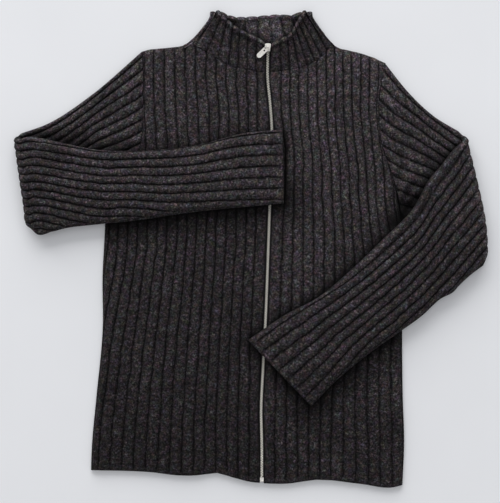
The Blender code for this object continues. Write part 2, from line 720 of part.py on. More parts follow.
def make_foot(material, collection):
    """Box that stops the chain at the hem."""
    width, length, tall = STOP_SIZE
    height = ZIP_FOOT - SEAM_GAP - length / 2
    across = read(ZIP_LINE, "height", height, "across")
    piece = add_box("zip_box", STOP_SIZE, (across, height, FRONT_INSIDE + tall / 2), collection)
    add_bevel(piece, STOP_BEVEL)
    piece.data.materials.append(material)
    return piece


def make_cardigan():
    clear_scene()
    garment = bpy.data.collections.new("zip_cardigan")
    cutters = bpy.data.collections.new("cutters")
    for collection in (garment, cutters):
        bpy.context.scene.collection.children.link(collection)
    wool = {}
    for name in ("back", "front_right", "front_left", "sleeve_right", "sleeve_left", "collar"):
        wool[name] = make_material("wool_" + name, WOOL)
    metal = {}
    for name in ("zip", "zip_slider", "zip_pull", "zip_box"):
        metal[name] = make_material("metal_" + name, ZIP_METAL)
    make_back(wool["back"], garment)
    make_front("front_right", -1, wool["front_right"], garment)
    make_front("front_left", 1, wool["front_left"], garment)
    make_sleeve("sleeve_right", SLEEVE_RIGHT, wool["sleeve_right"], garment)
    make_sleeve("sleeve_left", SLEEVE_LEFT, wool["sleeve_left"], garment)
    make_collar(wool["collar"], garment)
    make_zip(metal["zip"], garment)
    make_slider(metal["zip_slider"], garment, cutters)
    make_pull(metal["zip_pull"], garment)
    make_foot(metal["zip_box"], garment)


make_cardigan()
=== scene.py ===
"""Looks of a ribbed wool cardigan with a metal zip, laid flat with both sleeves folded over it.

Tables and shapes are in millimetres, X across, Y from hem to collar, Z up; meshes are in metres.
Right and left are the wearer's.
"""
import math

import bmesh
import bpy
import numpy as np
from mathutils import Matrix, Vector


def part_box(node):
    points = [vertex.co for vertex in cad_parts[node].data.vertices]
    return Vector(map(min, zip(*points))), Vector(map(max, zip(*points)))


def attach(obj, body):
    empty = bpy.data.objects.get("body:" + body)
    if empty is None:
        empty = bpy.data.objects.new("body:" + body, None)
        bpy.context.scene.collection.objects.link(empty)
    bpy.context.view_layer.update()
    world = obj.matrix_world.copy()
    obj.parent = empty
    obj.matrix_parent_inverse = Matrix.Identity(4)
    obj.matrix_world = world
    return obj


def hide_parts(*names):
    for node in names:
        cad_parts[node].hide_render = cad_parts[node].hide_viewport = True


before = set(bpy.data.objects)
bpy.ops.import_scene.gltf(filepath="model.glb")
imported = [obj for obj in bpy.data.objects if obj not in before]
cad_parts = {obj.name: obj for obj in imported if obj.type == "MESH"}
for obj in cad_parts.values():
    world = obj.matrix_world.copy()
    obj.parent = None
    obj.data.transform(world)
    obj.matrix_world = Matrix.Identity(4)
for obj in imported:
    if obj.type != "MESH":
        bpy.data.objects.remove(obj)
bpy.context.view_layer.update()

MM = 0.001

# Cloth, as in the solids
WALL = 3.0                  # the plain wall
SEAM_GAP = 0.3              # beside the zip and below the collar's back
ARMHOLE_GAP = 0.05          # between a front and its sleeve or its collar
LAYER_GAP = 0.4             # between layers that lie on each other
SLEEVE_HOLLOW = 0.6         # between the two walls of a flat sleeve
FRONT_INSIDE = WALL + LAYER_GAP
SLEEVE_HALF = WALL + SLEEVE_HOLLOW / 2
FOLD_HEIGHT = 8.4           # axis that a sleeve folds round, above the floor
FOLD_LEVER = 5.1            # from that axis to the sleeve's middle
FOLD_REACH = 10.0           # from that axis to the folded edge
FOLD_SLIDE = {-1: 4.5, 1: 8.3}      # half of what a sleeve's ribs run along its slanted fold
TAPE_HALF = 2.9             # half the width of the zip tape that shows
NECK_FOOT = 265.2           # height on the body where the zip enters the collar
COLLAR_LIFT = 3.2           # how far the collar's front edge lies over its seam

# Knit: a rib is four plain wales and one purl wale, which sinks to the groove
RIB = 15.0                  # usual width of a rib
WALES = 5.0                 # wales in a rib
COURSE = 2.4                # height of one row of stitches
GROOVE_DEPTH = 1.7          # groove below the plain wall
CREST = 2.0                 # crest above the plain wall
SLEEVE_FLATNESS = 2.4       # how square a rib's section is
BODY_FLATNESS = 3.8         # the body's ribs lie flatter than the sleeves'
FRONT_RELIEF = 0.86         # share of the ribs' rise that the fronts have
COLLAR_RELIEF = 0.8         # the same on the collar
RIB_STEPS = (0.0, 0.07, 0.16, 0.3, 0.5, 0.7, 0.84, 0.93)     # columns across one rib
ROW = 2.6                   # spacing of the mesh rows
PLAIN_ROW = 4.0             # the same on the back and the zip tape
WELD = 0.02                 # points closer than this are one
FRONT_INSIDE_COLUMNS = 9    # columns of a panel's hidden side
BACK_INSIDE_COLUMNS = 24
BACK_RIBS = 18              # ribs of the back to each side of its middle
BACK_INSET = 4.0            # the back's edge lies this far inside the front's
FLOOR_RECESS = 1.2          # grooves in the sides that rest flat
FLAT_SIDE = 1.2             # height of the back's outer side at its edges

# Sleeves
FOLD_STEPS = 17             # sections round the fold
SLEEVE_ROUND = 8.0          # width over which a flat sleeve's edge rounds off
LOW_ROUND = 15.0            # the same at the low edge of a forearm
PUFF = 3.6                  # how far the forearm's middle stands up
EDGE_TUBE = {-1: 0.6, 1: 2.6}       # rise of the rolled first rib of each forearm
CAST_ON = 0.8               # rise of the cast-on band of a cuff
CUFF_LIP = 2.2              # length over which a cuff's open edge thins out
FOLD_PRESS = 0.7            # share by which the ribs are pressed flat at the folded edge

# Collar
ROLL = 3.0                  # rise of its rolled edge
ROLL_INSET, ROLL_SPREAD = 4.6, 3.4  # from the edge to the roll's middle, and how broad the roll is
ROLL_WIDTH = 7.5            # width of that edge, which faces the light and gets the lighter wool of painted light
SCALLOP = 1.7               # how far its ribs stand out over its grooves along that edge
INSIDE_NUMBERS = (6.6, 18.5)        # rib numbers between which it shows its inner side, in the lighter wool of painted light
COLLAR_REACH = {-1: (110, 128), 1: (92, 103)}       # from the zip to where the collar ends
COLLAR_FOLD_NUMBERS = (0.7, 1.2, 1.5, 1.8, 2.3)     # rib numbers round a side fold
COLLAR_LEVELS = (0, 0.01, 0.03, 0.06, *np.linspace(0.1, 0.86, 16), 0.9, 0.94, 0.97, 0.99, 1.0)

# Zip
ZIP_BEND = (265.5, 309.0)   # heights on the body between which it rises with the collar
ZIP_RISE = 2.2
TOOTH_PITCH = 2.54
TOOTH_SIZE = (2.1, 1.16, 2.3)
TOOTH_BEVEL = 0.3
TOOTH_OFFSET = 0.75         # from the zip's line to a tooth's middle
TOOTH_RISE = 2.2            # from the tape's underside to a tooth's middle
FITTING_BEVEL = 0.22        # worn edge of the slider, pull tab and box
HINGE_RISE = 3.7            # hinge of the pull tab, above the slider's underside
PULL_TURN, PULL_DIP = 223.0, 4.6    # way the pull tab lies and its slope, in degrees

# Light and camera
MM_PER_PX = 1.5
PHOTO_HEIGHT_PX = 503
CAMERA_HEIGHT = 1400.0      # over the cloth
CAMERA_FOCUS = 8.0          # height of the cloth that is shown at its real size
CAMERA_X, CAMERA_Y = -0.75, -3.75
WORLD_LIGHT = 0.57
KEY_LIGHT = 870.0
WINDOW_PLACE = (-1.4, 7.0, 2.9)     # metres
WINDOW_SIZE = (10.0, 5.0)
FLOOR_RADIUS = 9.0

# Wool of each piece: how light it is, and the share of that which its grooves keep, as painted groove shade
WOOL_TONES = (
    ("back", 1.6, 0.5), ("front_right", 1.5, 0.8), ("front_left", 1.88, 0.8), ("sleeve_right", 1.79, 0.52),
    # the collar's inner side and rolled edge get a much lighter copy of its wool as painted light
    ("sleeve_left", 1.88, 0.6), ("collar", 1.15, 0.85), ("collar_painted_lit", 2.95, 0.62),
)

# Patterns in the wool: size in millimetres, detail, roughness and which output is used
WOOL_FIBRES = (
    (9, 2.0, 0.5, "Fac"), (60, 1.0, 0.5, "Fac"), (2.4, 2.0, 0.6, "Fac"), (0.6, 3.0, 0.5, "Fac"),
    (8, 1.0, 0.5, "Color"),
)

# Colours of the yarn: its shades from dark to light, and the slight tint that a stitch has
WOOL_SHADES = ((0, "#0c0b0c"), (0.35, "#1d1b1d"), (0.6, "#302d30"), (0.82, "#494448"), (1, "#625c62"))
FIBRE_TINTS = ((0, "#f0ffec"), (0.25, "#ffffff"), (0.75, "#ffffff"), (1, "#fff0ff"))

# Width and length of the back's cut, and the share of them that is cloth
BACK_FLAT = (462, 650)
BACK_CUT_SHARE = 0.88

# Line of the zip
ZIP_LINE = {
    "y": (-352, -296, -240, -177, -98, 9, 66, 126, 182, 224, 254, 310),
    "x": (17, 17, 16, 19, 23, 27, 29, 31, 32, 29, 26, 26.5),
}
ZIP_FOOT = -343.0
ZIP_HEAD = 308.0

# Section of the zip tape: across it, and above its underside
TAPE_SECTION = (
    (-2.9, 0.2), (2.9, 0.2), (2.9, 1.1), (2.2, 1.5), (0.9, 1.5), (0.4, 1.1), (-0.4, 1.1), (-0.9, 1.5),
    (-2.2, 1.5), (-2.9, 1.1),
)

# Outer edges of the body
BODY_EDGE = {
    "y": (-352, -290, -226, -114, -46, 38, 78, 123, 160, 200, 231, 280, 300),
    "right": (-240.5, -238.5, -232.5, -222.5, -223, -219, -218, -179, -165, -162, -161, -162, -163),
    "left": (228.5, 231.5, 229.5, 228.5, 229, 228, 222, 209, 197, 193, 194, 202, 204),
}
HEM = {
    "x": (-240, -151, -106, -83, -53, -23, -1, 17, 52, 101, 164, 217, 230),
    "y": (-333, -336, -341, -341, -337, -345, -350.5, -352.5, -353.5, -347.5, -353.5, -358.5, -355),
}
SHOULDER_RIGHT = {"x": (-163, -151, -128, -108, -100, -92), "y": (297.5, 300.5, 302.5, 304.5, 306.5, 306)}
SHOULDER_LEFT = {"x": (120, 127, 134, 167, 187, 202), "y": (302.5, 306, 302, 294.5, 287.5, 280)}

# Where the 1st, 6th and 11th grooves from the zip lie across each front
GROOVES_RIGHT = {
    "y": (-345, -279, -129, 21, 194, 254), "first": (-3, -2, 1, 8, 11, 10),
    "sixth": (-86, -85, -77, -67, -62, -67), "eleventh": (-176, -173, -158, -140, -143, -146),
}
GROOVES_LEFT = {
    "y": (-345, -249, -39, 66, 126, 201, 300), "first": (36, 37, 47, 50, 52, 47, 47),
    "sixth": (121, 121, 127, 124, 121, 115, 113), "eleventh": (214, 212, 205, 190, 187, 179, 179),
}
FRONT_RIBS = 18
HEM_LEVEL, LOW_LEVEL, HIGH_LEVEL, TOP_LEVEL = -345.0, -290.0, 231.0, 292.0

# Collar, at its grooves: seam below and edge above
COLLAR_RIGHT = {
    "seam_x": (22.6, 8, -5, -19, -33, -49, -66, -84),
    "seam_y": (265.5, 267, 270, 272, 276.5, 285, 295.5, 304.5),
    "edge_x": (22.9, 10, -4, -16, -26, -34.5, -42, -49),
    "edge_y": (309, 318, 324, 330, 337, 344.5, 352, 358.5),
}
COLLAR_LEFT = {
    "seam_x": (29.3, 46, 59, 73, 85, 97, 107, 115),
    "seam_y": (265.5, 267, 269, 271.5, 276, 282, 288, 297.5),
    "edge_x": (30.1, 44, 55, 61.5, 66, 70, 74.5, 81),
    "edge_y": (308, 315, 320, 327, 335, 343, 350.5, 358.5),
}
COLLAR_BACK = {
    "seam_x": (-75, -56, -35, -11, 12, 35, 58, 80, 101),
    "seam_y": (301, 299, 297.5, 297, 297, 297, 298, 299.5, 301),
    "edge_x": (-46, -34, -21.5, -7, 10.5, 28, 44, 61, 77),
    "edge_y": (358, 352.5, 349.5, 349.5, 350.5, 352, 353, 352.5, 357.5),
}
COLLAR_FOLD_RIGHT = (-104, 304.5, -56.5, 359)
COLLAR_FOLD_LEFT = (129, 305, 88.5, 358.5)
COLLAR_FOLD_HOLLOW = {-1: 5.0, 1: 2.6}      # how far each side fold bends in at its middle

# Sections of a sleeve from armhole to cuff; the one at index FOLD_AT is the folded edge
SLEEVE_RIGHT = {
    "top_x": (-163, -235.5, -301, -355, -333, -309, -278, -226, -166, -120, -76, -16, 48),
    "top_y": (297.5, 234.5, 190.5, 168, 167.5, 165, 158, 148, 147, 150, 156, 172, 179),
    "low_x": (-218, -250, -286, -339, -319, -296, -276, -226, -166, -120, -76, -16, 50),
    "low_y": (78, 60, 39, 34, 22, 26, 31, 37, 43, 50, 56, 62, 68),
    "bow": (0, 0, 0, -2.7, 0, 0, 0, 0, 0, 0, 0, 0, 0),
    "first": (9.6, 7.5, 8, 9, 8.5, 7.5, 5, 3, 1, 1, 1, 4, 4.5),
    "pitch": (18.9, 14.5, 12.5, 11.8, 11.8, 11.9, 12, 12, 12.2, 13.2, 14.1, 15.7, 16.7),
}
SLEEVE_LEFT = {
    "top_x": (202, 236, 277, 324.5, 302, 283, 269, 245, 197, 149, 101, 52, -4),
    "top_y": (280, 237.5, 199, 170.5, 147.5, 123, 107, 64, 14, -32, -72, -98, -136),
    "low_x": (228, 256, 299, 356, 331, 310.5, 304, 284, 256, 220, 173, 127, 91),
    "low_y": (38, 22, -6, -15, -37, -56, -63.5, -74.5, -100, -126, -159.5, -198, -235),
    "bow": (0, 0, 0, 5.0, 1.8, 0, 0, 0, 0, 0, 0, 0, 0),
    "first": (12, 9, 8, 12, 20, 20, 22, 17, 14, 10, 4.5, 8, 9),
    "pitch": (22.5, 19, 16.2, 17.3, 17.1, 17.1, 16.1, 14, 13, 12.8, 13.8, 16.6, 18.6),
}
FOLD_AT = 3
BOW_SHAPE = 6.75            # makes a section's bow whole two thirds of the way down it
SLEEVE_RIBS = 14

# Creases placed one by one: middle, way they run, length, width and rise (a trough is below 0)
CREASES = {
    "fore_right": (
        (-140, 100, 62, 90, 12, -1.3), (-158, 96, 66, 90, 11, 1.1), (-250, 95, 70, 110, 16, 1.0),
        (-285, 100, 68, 100, 12, -1.2), (-60, 110, 80, 70, 16, -0.6), (10, 120, 85, 80, 14, 0.6),
        (-205, 60, 25, 60, 9, -0.9), (-325, 120, 75, 80, 10, 0.9),
        (-318, 160, -12, 80, 3.5, 2.6), (-322, 149, -14, 70, 3, 2.0),
    ),
    "upper_right": (
        (-230, 190, 40, 90, 14, -1.2), (-205, 215, 42, 90, 14, 1.1), (-265, 185, 30, 80, 12, 0.9),
        (-300, 165, 45, 60, 10, -0.8), (-280, 162, -8, 110, 12, -2.4),
    ),
    "fore_left": (
        (280, 20, -10, 90, 14, 1.0), (262, -8, -8, 90, 12, -1.1), (210, -50, 25, 90, 14, -0.9),
        (150, -100, 30, 90, 16, 0.8), (90, -140, 40, 80, 14, -0.6), (325, 10, 80, 90, 12, 0.9),
        (300, 60, 60, 70, 10, -0.9),
    ),
    "upper_left": (
        (225, 130, 65, 60, 7, -1.6), (212, 118, 70, 50, 6, 1.6), (235, 100, 60, 50, 6, 1.4),
        (245, 150, 25, 90, 12, -1.0), (270, 170, 30, 90, 12, 1.0), (290, 110, 50, 80, 12, -1.0),
        (221, 124, 80, 22, 3.6, 3.6), (229, 86, 66, 44, 3.8, 3.8), (240, 76, 50, 36, 3.6, 3.2),
        (235, 98, 30, 26, 3.2, 2.2), (228, 48, 62, 54, 13, -3.6), (252, 62, 45, 34, 5, 1.8),
    ),
    "front_right": (
        (-150, 0, 80, 160, 22, 0.8), (-120, -160, 85, 220, 26, -0.7), (-60, -240, 95, 160, 22, 0.7),
        (-60, 225, 60, 90, 16, 0.8), (-120, 215, 70, 90, 16, -0.7),
    ),
    "front_left": (
        (202, 142, 72, 60, 6, 1.8), (214, 116, 62, 50, 6, 1.6), (196, 120, 75, 60, 6, -1.3),
        (120, 200, 100, 120, 22, 0.7), (90, 100, 85, 160, 24, -0.6), (150, -230, 85, 160, 24, 0.7),
        (205, 90, 70, 60, 8, 1.2), (208, 133, 74, 40, 4, 3.4), (199, 105, 70, 50, 6, -1.8),
    ),
}

# Painted shadows beside a forearm's edges, where less light falls: how dark, how wide, and the line they
# follow
PAINTED_SHADOWS = (
    (0.72, 30, ((-319, 22), (-226, 37), (-120, 50), (-16, 62), (50, 68))),
    (0.60, 13, ((-320, 164), (-278, 158), (-226, 148), (-190, 148))),
    (0.50, 8, ((50, 172), (51, 74))),
    (0.60, 28, ((331, -37), (284, -74.5), (220, -126), (173, -159.5), (91, -235))),
    (0.45, 16, ((-4, -136), (45, -187), (91, -235))),
    (0.55, 9, ((302, 147.5), (283, 123), (269, 107), (245, 64), (197, 14), (101, -72), (-4, -136))),
    (0.85, 17, ((214, 40), (238, 62))),
    (0.55, 6, ((-48, 352), (-26, 335), (-4, 322), (22, 307), (31, 306), (55, 318), (66, 333), (80, 352))),
)
PAINTED_SHADOW_CEILING = 12.5       # only cloth below this height gets the painted shadow


def smooth(at, places, values):
    """Smooth curve through values at rising places."""
    places = np.asarray(places, float)
    values = np.asarray(values, float)
    at = np.clip(at, places[0], places[-1])
    slope = np.gradient(values, places)
    i = np.clip(np.searchsorted(places, at, side="right") - 1, 0, len(places) - 2)
    span = places[i + 1] - places[i]
    t = (at - places[i]) / span
    rise = 3 * t ** 2 - 2 * t ** 3
    ease_in = (t ** 3 - 2 * t ** 2 + t) * span * slope[i]
    ease_out = (t ** 3 - t ** 2) * span * slope[i + 1]
    return values[i] * (1 - rise) + values[i + 1] * rise + ease_in + ease_out


def mix(a, b, share):
    return a + (b - a) * share


def step(at, low, high):
    """Soft step from 0 to 1 between two places."""
    t = np.clip((at - low) / (high - low), 0, 1)
    return t * t * (3 - 2 * t)


def rounding(free, width):
    """Height of a rounded edge, as a share, at a distance from it."""
    near = np.clip(free / width, 0, 1)
    return np.sqrt(1 - (1 - near) ** 2)


def unevenness(x, y, size, seed):
    """Soft uneven relief from -1 to 1, in patches of a size."""
    lattice = np.random.default_rng(seed).uniform(-1, 1, (97, 97))
    u = x / size + 1000
    v = y / size + 1000
    i = np.floor(u).astype(int)
    j = np.floor(v).astype(int)
    fu = step(u - i, 0, 1)
    fv = step(v - j, 0, 1)
    low = mix(lattice[i % 97, j % 97], lattice[(i + 1) % 97, j % 97], fu)
    high = mix(lattice[i % 97, (j + 1) % 97], lattice[(i + 1) % 97, (j + 1) % 97], fu)
    return mix(low, high, fv)


def creases(piece, x, y):
    """Height of the listed creases of one piece."""
    height = np.zeros_like(x)
    for middle_x, middle_y, angle, length, width, rise in CREASES.get(piece, ()):
        lean = math.radians(angle)
        along = (x - middle_x) * math.cos(lean) + (y - middle_y) * math.sin(lean)
        across = (y - middle_y) * math.cos(lean) - (x - middle_x) * math.sin(lean)
        across = across + 0.0015 * along ** 2 * np.sign(rise)
        fade = np.exp(-(2 * along / length) ** 2)
        height += rise * fade * np.exp(-(across / width) ** 2)
    return height


def rib_numbers(ribs):
    """Rib numbers of the columns of a wall: whole numbers are grooves."""
    return np.array([rib + part for rib in range(ribs) for part in RIB_STEPS] + [ribs], float)


def rib_profile(number, seed, flatness=SLEEVE_FLATNESS):
    """Height of the ribs over the plain wall: broad rounded crests and narrow grooves."""
    within = number % 1.0
    side = 2 * np.minimum(within, 1 - within)
    crest = (1 - (1 - side) ** flatness) ** 0.8
    own = np.random.default_rng(seed).uniform(0.82, 1.12, 64)
    tall = own[np.floor(number).astype(int) % 64]
    return -GROOVE_DEPTH + (GROOVE_DEPTH + CREST * tall) * crest


def lumps(number, along, seed):
    """How far a groove wanders sideways from stitch to stitch."""
    return 0.75 * unevenness(number * 9, along, 6.5, seed + 50)


def knots(number, along, seed):
    """Small uneven rise of the stitches on a rib's crest."""
    return 0.32 * unevenness(number * 15, along, 5.5, seed + 70)


def strip_faces(first, first_places, second, second_places):
    """Triangles between two lines of points of unlike count, in step with their places."""
    faces = []
    i = j = 0
    while i < len(first) - 1 or j < len(second) - 1:
        next_first = first_places[i + 1] if i < len(first) - 1 else math.inf
        next_second = second_places[j + 1] if j < len(second) - 1 else math.inf
        if next_first <= next_second:
            faces.append((first[i], first[i + 1], second[j]))
            i += 1
        else:
            faces.append((first[i], second[j + 1], second[j]))
            j += 1
    return faces


def grid_faces(ids, around=False):
    """Quads of a grid of point numbers, joined to itself sideways when it goes around."""
    right = np.roll(ids, -1, axis=1)
    if not around:
        ids, right = ids[:, :-1], right[:, :-1]
    quads = np.stack((ids[:-1], right[:-1], right[1:], ids[1:]), axis=-1)
    return [tuple(quad) for quad in quads.reshape(-1, 4).tolist()]


def add_piece(name, points, faces, material):
    """An object in the scene with a mesh of points in millimetres."""
    mesh = bpy.data.meshes.new(name)
    mesh.from_pydata((points * MM).tolist(), [], faces)
    mesh.materials.append(material)
    piece = bpy.data.objects.new(name, mesh)
    bpy.context.scene.collection.objects.link(piece)
    return piece


def mend(mesh, weld=0.0):
    """Weld points that meet, where asked, and turn the faces outward."""
    shell = bmesh.new()
    shell.from_mesh(mesh)
    if weld:
        bmesh.ops.remove_doubles(shell, verts=shell.verts, dist=weld)
        bmesh.ops.dissolve_degenerate(shell, edges=shell.edges, dist=weld)
    bmesh.ops.recalc_face_normals(shell, faces=shell.faces)
    shell.to_mesh(mesh)
    shell.free()


def knit_piece(name, points, marks, faces, material):
    """A closed knitted shell as an object, with its stitches laid out in a map named knit."""
    piece = add_piece(name, points, faces, material)
    mesh = piece.data
    corners = np.zeros(len(mesh.loops), int)
    mesh.loops.foreach_get("vertex_index", corners)
    layout = mesh.uv_layers.new(name="knit")
    layout.data.foreach_set("uv", marks[corners].astype(np.float32).ravel())
    mend(mesh, WELD * MM)
    mesh.shade_smooth()
    paint_shadows(piece)
    return piece


def paint_shadows(piece):
    """Paint shadows: mark how much less light each point of the lower cloth gets beside the forearms, as a
    darkness for the wool's colour.
    """
    mesh = piece.data
    points = np.zeros(len(mesh.vertices) * 3)
    mesh.vertices.foreach_get("co", points)
    x, y, z = points.reshape(-1, 3).T / MM
    dark = np.zeros_like(x)
    for strength, reach, line in PAINTED_SHADOWS:
        nearest = np.full_like(x, math.inf)
        for (x0, y0), (x1, y1) in zip(line, line[1:]):
            span_x, span_y = x1 - x0, y1 - y0
            share = ((x - x0) * span_x + (y - y0) * span_y) / (span_x ** 2 + span_y ** 2)
            share = np.clip(share, 0, 1)
            nearest = np.minimum(nearest, np.hypot(x - x0 - share * span_x, y - y0 - share * span_y))
        dark = np.maximum(dark, strength * np.exp(-(nearest / reach) ** 2))
    dark = dark * step(PAINTED_SHADOW_CEILING - z, -1, 2)
    # the attribute named hollow carries this painted shadow into the wool's colour
    mesh.attributes.new("hollow", "FLOAT", "POINT").data.foreach_set("value", dark.astype(np.float32))


def panel(name, outer, inner, number, along, inner_number, material):
    """A closed panel from its outer grid and a coarser inner one with the same rows."""
    rows, columns = outer.shape[:2]
    narrow = inner.shape[1]
    ids = np.arange(rows * columns).reshape(rows, columns)
    inner_ids = np.arange(rows * narrow).reshape(rows, narrow) + rows * columns
    faces = grid_faces(ids) + grid_faces(inner_ids[:, ::-1])
    for edge, inner_edge in ((ids[:, 0], inner_ids[:, 0]), (inner_ids[:, -1], ids[:, -1])):
        faces += grid_faces(np.stack((inner_edge, edge), axis=1))
    places = np.linspace(0, 1, narrow)
    for row in (0, -1):
        start, end = outer[row, 0, 0], outer[row, -1, 0]
        shares = (outer[row, :, 0] - start) / (end - start)
        faces += strip_faces(ids[row].tolist(), shares, inner_ids[row].tolist(), places)
    points = np.concatenate((outer.reshape(-1, 3), inner.reshape(-1, 3)))
    marks = np.concatenate((
        np.stack((number.ravel(), along.ravel() / RIB), axis=1),
        np.stack((inner_number.ravel(), np.repeat(along[:, 0], narrow) / RIB), axis=1),
    ))
    return knit_piece(name, points, marks, faces, material)


def outer_edge(y, side):
    return smooth(y, BODY_EDGE["y"], BODY_EDGE["left" if side > 0 else "right"])


def zip_middle(y):
    return smooth(y, ZIP_LINE["y"], ZIP_LINE["x"])


def top_edge(x, side):
    """Neck and shoulder seam of a front, as a height at a place across."""
    collar, shoulder = (COLLAR_LEFT, SHOULDER_LEFT) if side > 0 else (COLLAR_RIGHT, SHOULDER_RIGHT)
    places = np.concatenate((collar["seam_x"], shoulder["x"]))
    heights = np.concatenate((np.array(collar["seam_y"]) - ARMHOLE_GAP, shoulder["y"]))
    order = np.argsort(places)
    return np.interp(x, places[order], heights[order])


def wrap(distance, length, reach=6.0):
    """Distances that run past an edge close up against it; also how wide each stays, as a share."""
    over = np.maximum(distance - (length - reach), 0)
    open_share = np.exp(-over / reach)
    return np.where(over > 0, length - reach * open_share, distance), open_share


def coarse(x, values, columns):
    """Rows of values read again at evenly spaced places across."""
    shares = np.linspace(0, 1, columns)
    return np.array([
        np.interp(shares, (row_x - row_x[0]) / (row_x[-1] - row_x[0]), row)
        for row_x, row in zip(x, values)
    ])


def rows_between(low, high, spacing):
    """Levels of mesh rows, closer together beside both edges."""
    edge = np.array((0.0, 0.3, 0.8, 1.6, 2.6, 4.0))
    inner = np.linspace(low + 6, high - 6, int((high - low - 12) / spacing))
    return np.concatenate((low + edge, inner, (high - edge)[::-1]))


def fit_rows(level, low, top):
    """Heights of the rows of a panel: even in its middle, and bent to its hem and its top edge."""
    from_hem = (level - HEM_LEVEL) / (LOW_LEVEL - HEM_LEVEL)
    from_high = (level - HIGH_LEVEL) / (TOP_LEVEL - HIGH_LEVEL)
    y = np.where(level < LOW_LEVEL, mix(low, LOW_LEVEL, from_hem), level)
    return np.where(level > HIGH_LEVEL, mix(HIGH_LEVEL, top, from_high), y)


def front_grid(side):
    """Grid of a front: rib numbers, levels, places across, both its side edges and how open it is."""
    grooves = GROOVES_LEFT if side > 0 else GROOVES_RIGHT
    number, level = np.meshgrid(rib_numbers(FRONT_RIBS), rows_between(HEM_LEVEL, TOP_LEVEL, ROW))
    edge = zip_middle(np.minimum(level, NECK_FOOT)) + side * (TAPE_HALF + SEAM_GAP)
    limit = outer_edge(level, side)
    first, sixth, eleventh = (
        smooth(level, grooves["y"], grooves[key]) for key in ("first", "sixth", "eleventh")
    )
    x = np.where(number < 6, mix(first, sixth, (number - 1) / 5), mix(sixth, eleventh, (number - 6) / 5))
    x = np.where(number < 1, mix(edge, first, number), x)
    wander = 1.2 * unevenness(number * 9, level, 26, 5 + side) + lumps(number, level, 7 + side)
    x = x + wander * step(number, 0, 1)
    reach, open_share = wrap((x - edge) * side, (limit - edge) * side)
    reach[:, -1] = ((limit - edge) * side)[:, -1]
    return number, level, edge + side * reach, edge, limit, open_share


def front_shell(name, side, material):
    """One front: ribs on its outer side, edges that round down to the floor or to a seam."""
    number, level, x, edge, limit, open_share = front_grid(side)
    low = smooth(x, HEM["x"], HEM["y"])
    top = top_edge(x, side)
    y = fit_rows(level, low, top)

    at_sleeve = step(y, 60, 110)
    at_shoulder = step(np.abs(x - zip_middle(y)), *COLLAR_REACH[side])
    from_zip = (x - edge) * side
    full = FRONT_INSIDE + WALL
    surface = np.full_like(x, full)
    inside = np.full_like(x, FRONT_INSIDE)
    # Each edge: distance from it, width over which it rounds off, and height at its foot
    for free, width, foot in (
        ((limit - x) * side, mix(10.0, 2.0, at_sleeve), mix(1.6, 6.0, at_sleeve)),
        (from_zip, 3.6, 4.4),
        (y - low, 4.5, 2.0),
        (top - y, mix(1.2, 12.0, at_shoulder), mix(6.2, 1.8, at_shoulder)),
    ):
        round_off = rounding(free, width)
        surface = np.minimum(surface, mix(foot, full, round_off))
        inside = np.minimum(inside, mix(np.minimum(foot - 0.4, FRONT_INSIDE), FRONT_INSIDE, round_off))
    fade = open_share * mix(0.45, 1.0, step(y - low, 5, 12))
    fade = fade * step(from_zip, -1, 3) * step(top - y, -3, 1.5) * step(y - low, -1, 3)
    neck_bump = 0.7 * np.exp(-((top - y - 5) / 3) ** 2) * (1 - at_shoulder)
    relief = FRONT_RELIEF * rib_profile(number, 20 + side, BODY_FLATNESS) + knots(number, level, side)
    relief = relief + neck_bump + creases(name, x, y) + 0.35 * unevenness(x, y, 34, 3 + side)
    z = surface + relief * fade
    outer = np.stack((x, y, z), axis=-1)
    inner = np.stack([coarse(x, values, FRONT_INSIDE_COLUMNS) for values in (x, y, inside)], axis=-1)
    inner_number = coarse(x, number, FRONT_INSIDE_COLUMNS)
    piece = panel(name, outer, inner, number, level, inner_number, material)
    across, up = np.abs(limit - edge)[:, 0], (top - low)[0]
    return piece, (across.max(), up.max(), across.mean() * up.mean())


def back_shell(name, material):
    """The back, seen only from below: shallow grooves in a side that rests flat."""
    steps = [rib + part for rib in range(-BACK_RIBS, BACK_RIBS) for part in (0.0, 0.14, 0.5, 0.86)]
    steps = np.array(steps + [BACK_RIBS], float)
    number, level = np.meshgrid(steps, rows_between(HEM_LEVEL, TOP_LEVEL, PLAIN_ROW))
    x = number * RIB
    for side in (-1, 1):
        length = outer_edge(level, side) * side - BACK_INSET
        reach = wrap(x * side, length)[0]
        column = -1 if side > 0 else 0
        reach[:, column] = length[:, column]
        x = side * reach
    low = smooth(x, HEM["x"], HEM["y"]) + 1.5
    seam_x = np.concatenate((SHOULDER_RIGHT["x"], COLLAR_BACK["seam_x"], SHOULDER_LEFT["x"]))
    neck_y = np.array(COLLAR_BACK["seam_y"]) - SEAM_GAP
    seam_y = np.concatenate((SHOULDER_RIGHT["y"], neck_y, SHOULDER_LEFT["y"]))
    top = np.interp(x, seam_x, seam_y)
    y = fit_rows(level, low, top)
    free = np.minimum(y - low, top - y)
    for side in (-1, 1):
        free = np.minimum(free, (outer_edge(level, side) - x) * side - BACK_INSET)
    round_off = rounding(free, 5.0)
    recess = (CREST - rib_profile(number, 2)) / (CREST + GROOVE_DEPTH)
    under = mix(FLAT_SIDE, FLOOR_RECESS * np.clip(recess, 0, 1), round_off)
    upper = mix(1.4, WALL, round_off)
    outer = np.stack((x, y, under), axis=-1)
    inner = np.stack([coarse(x, values, BACK_INSIDE_COLUMNS) for values in (x, y, upper)], axis=-1)
    inner_number = coarse(x, number, BACK_INSIDE_COLUMNS)
    return panel(name, outer, inner, number, level, inner_number, material)


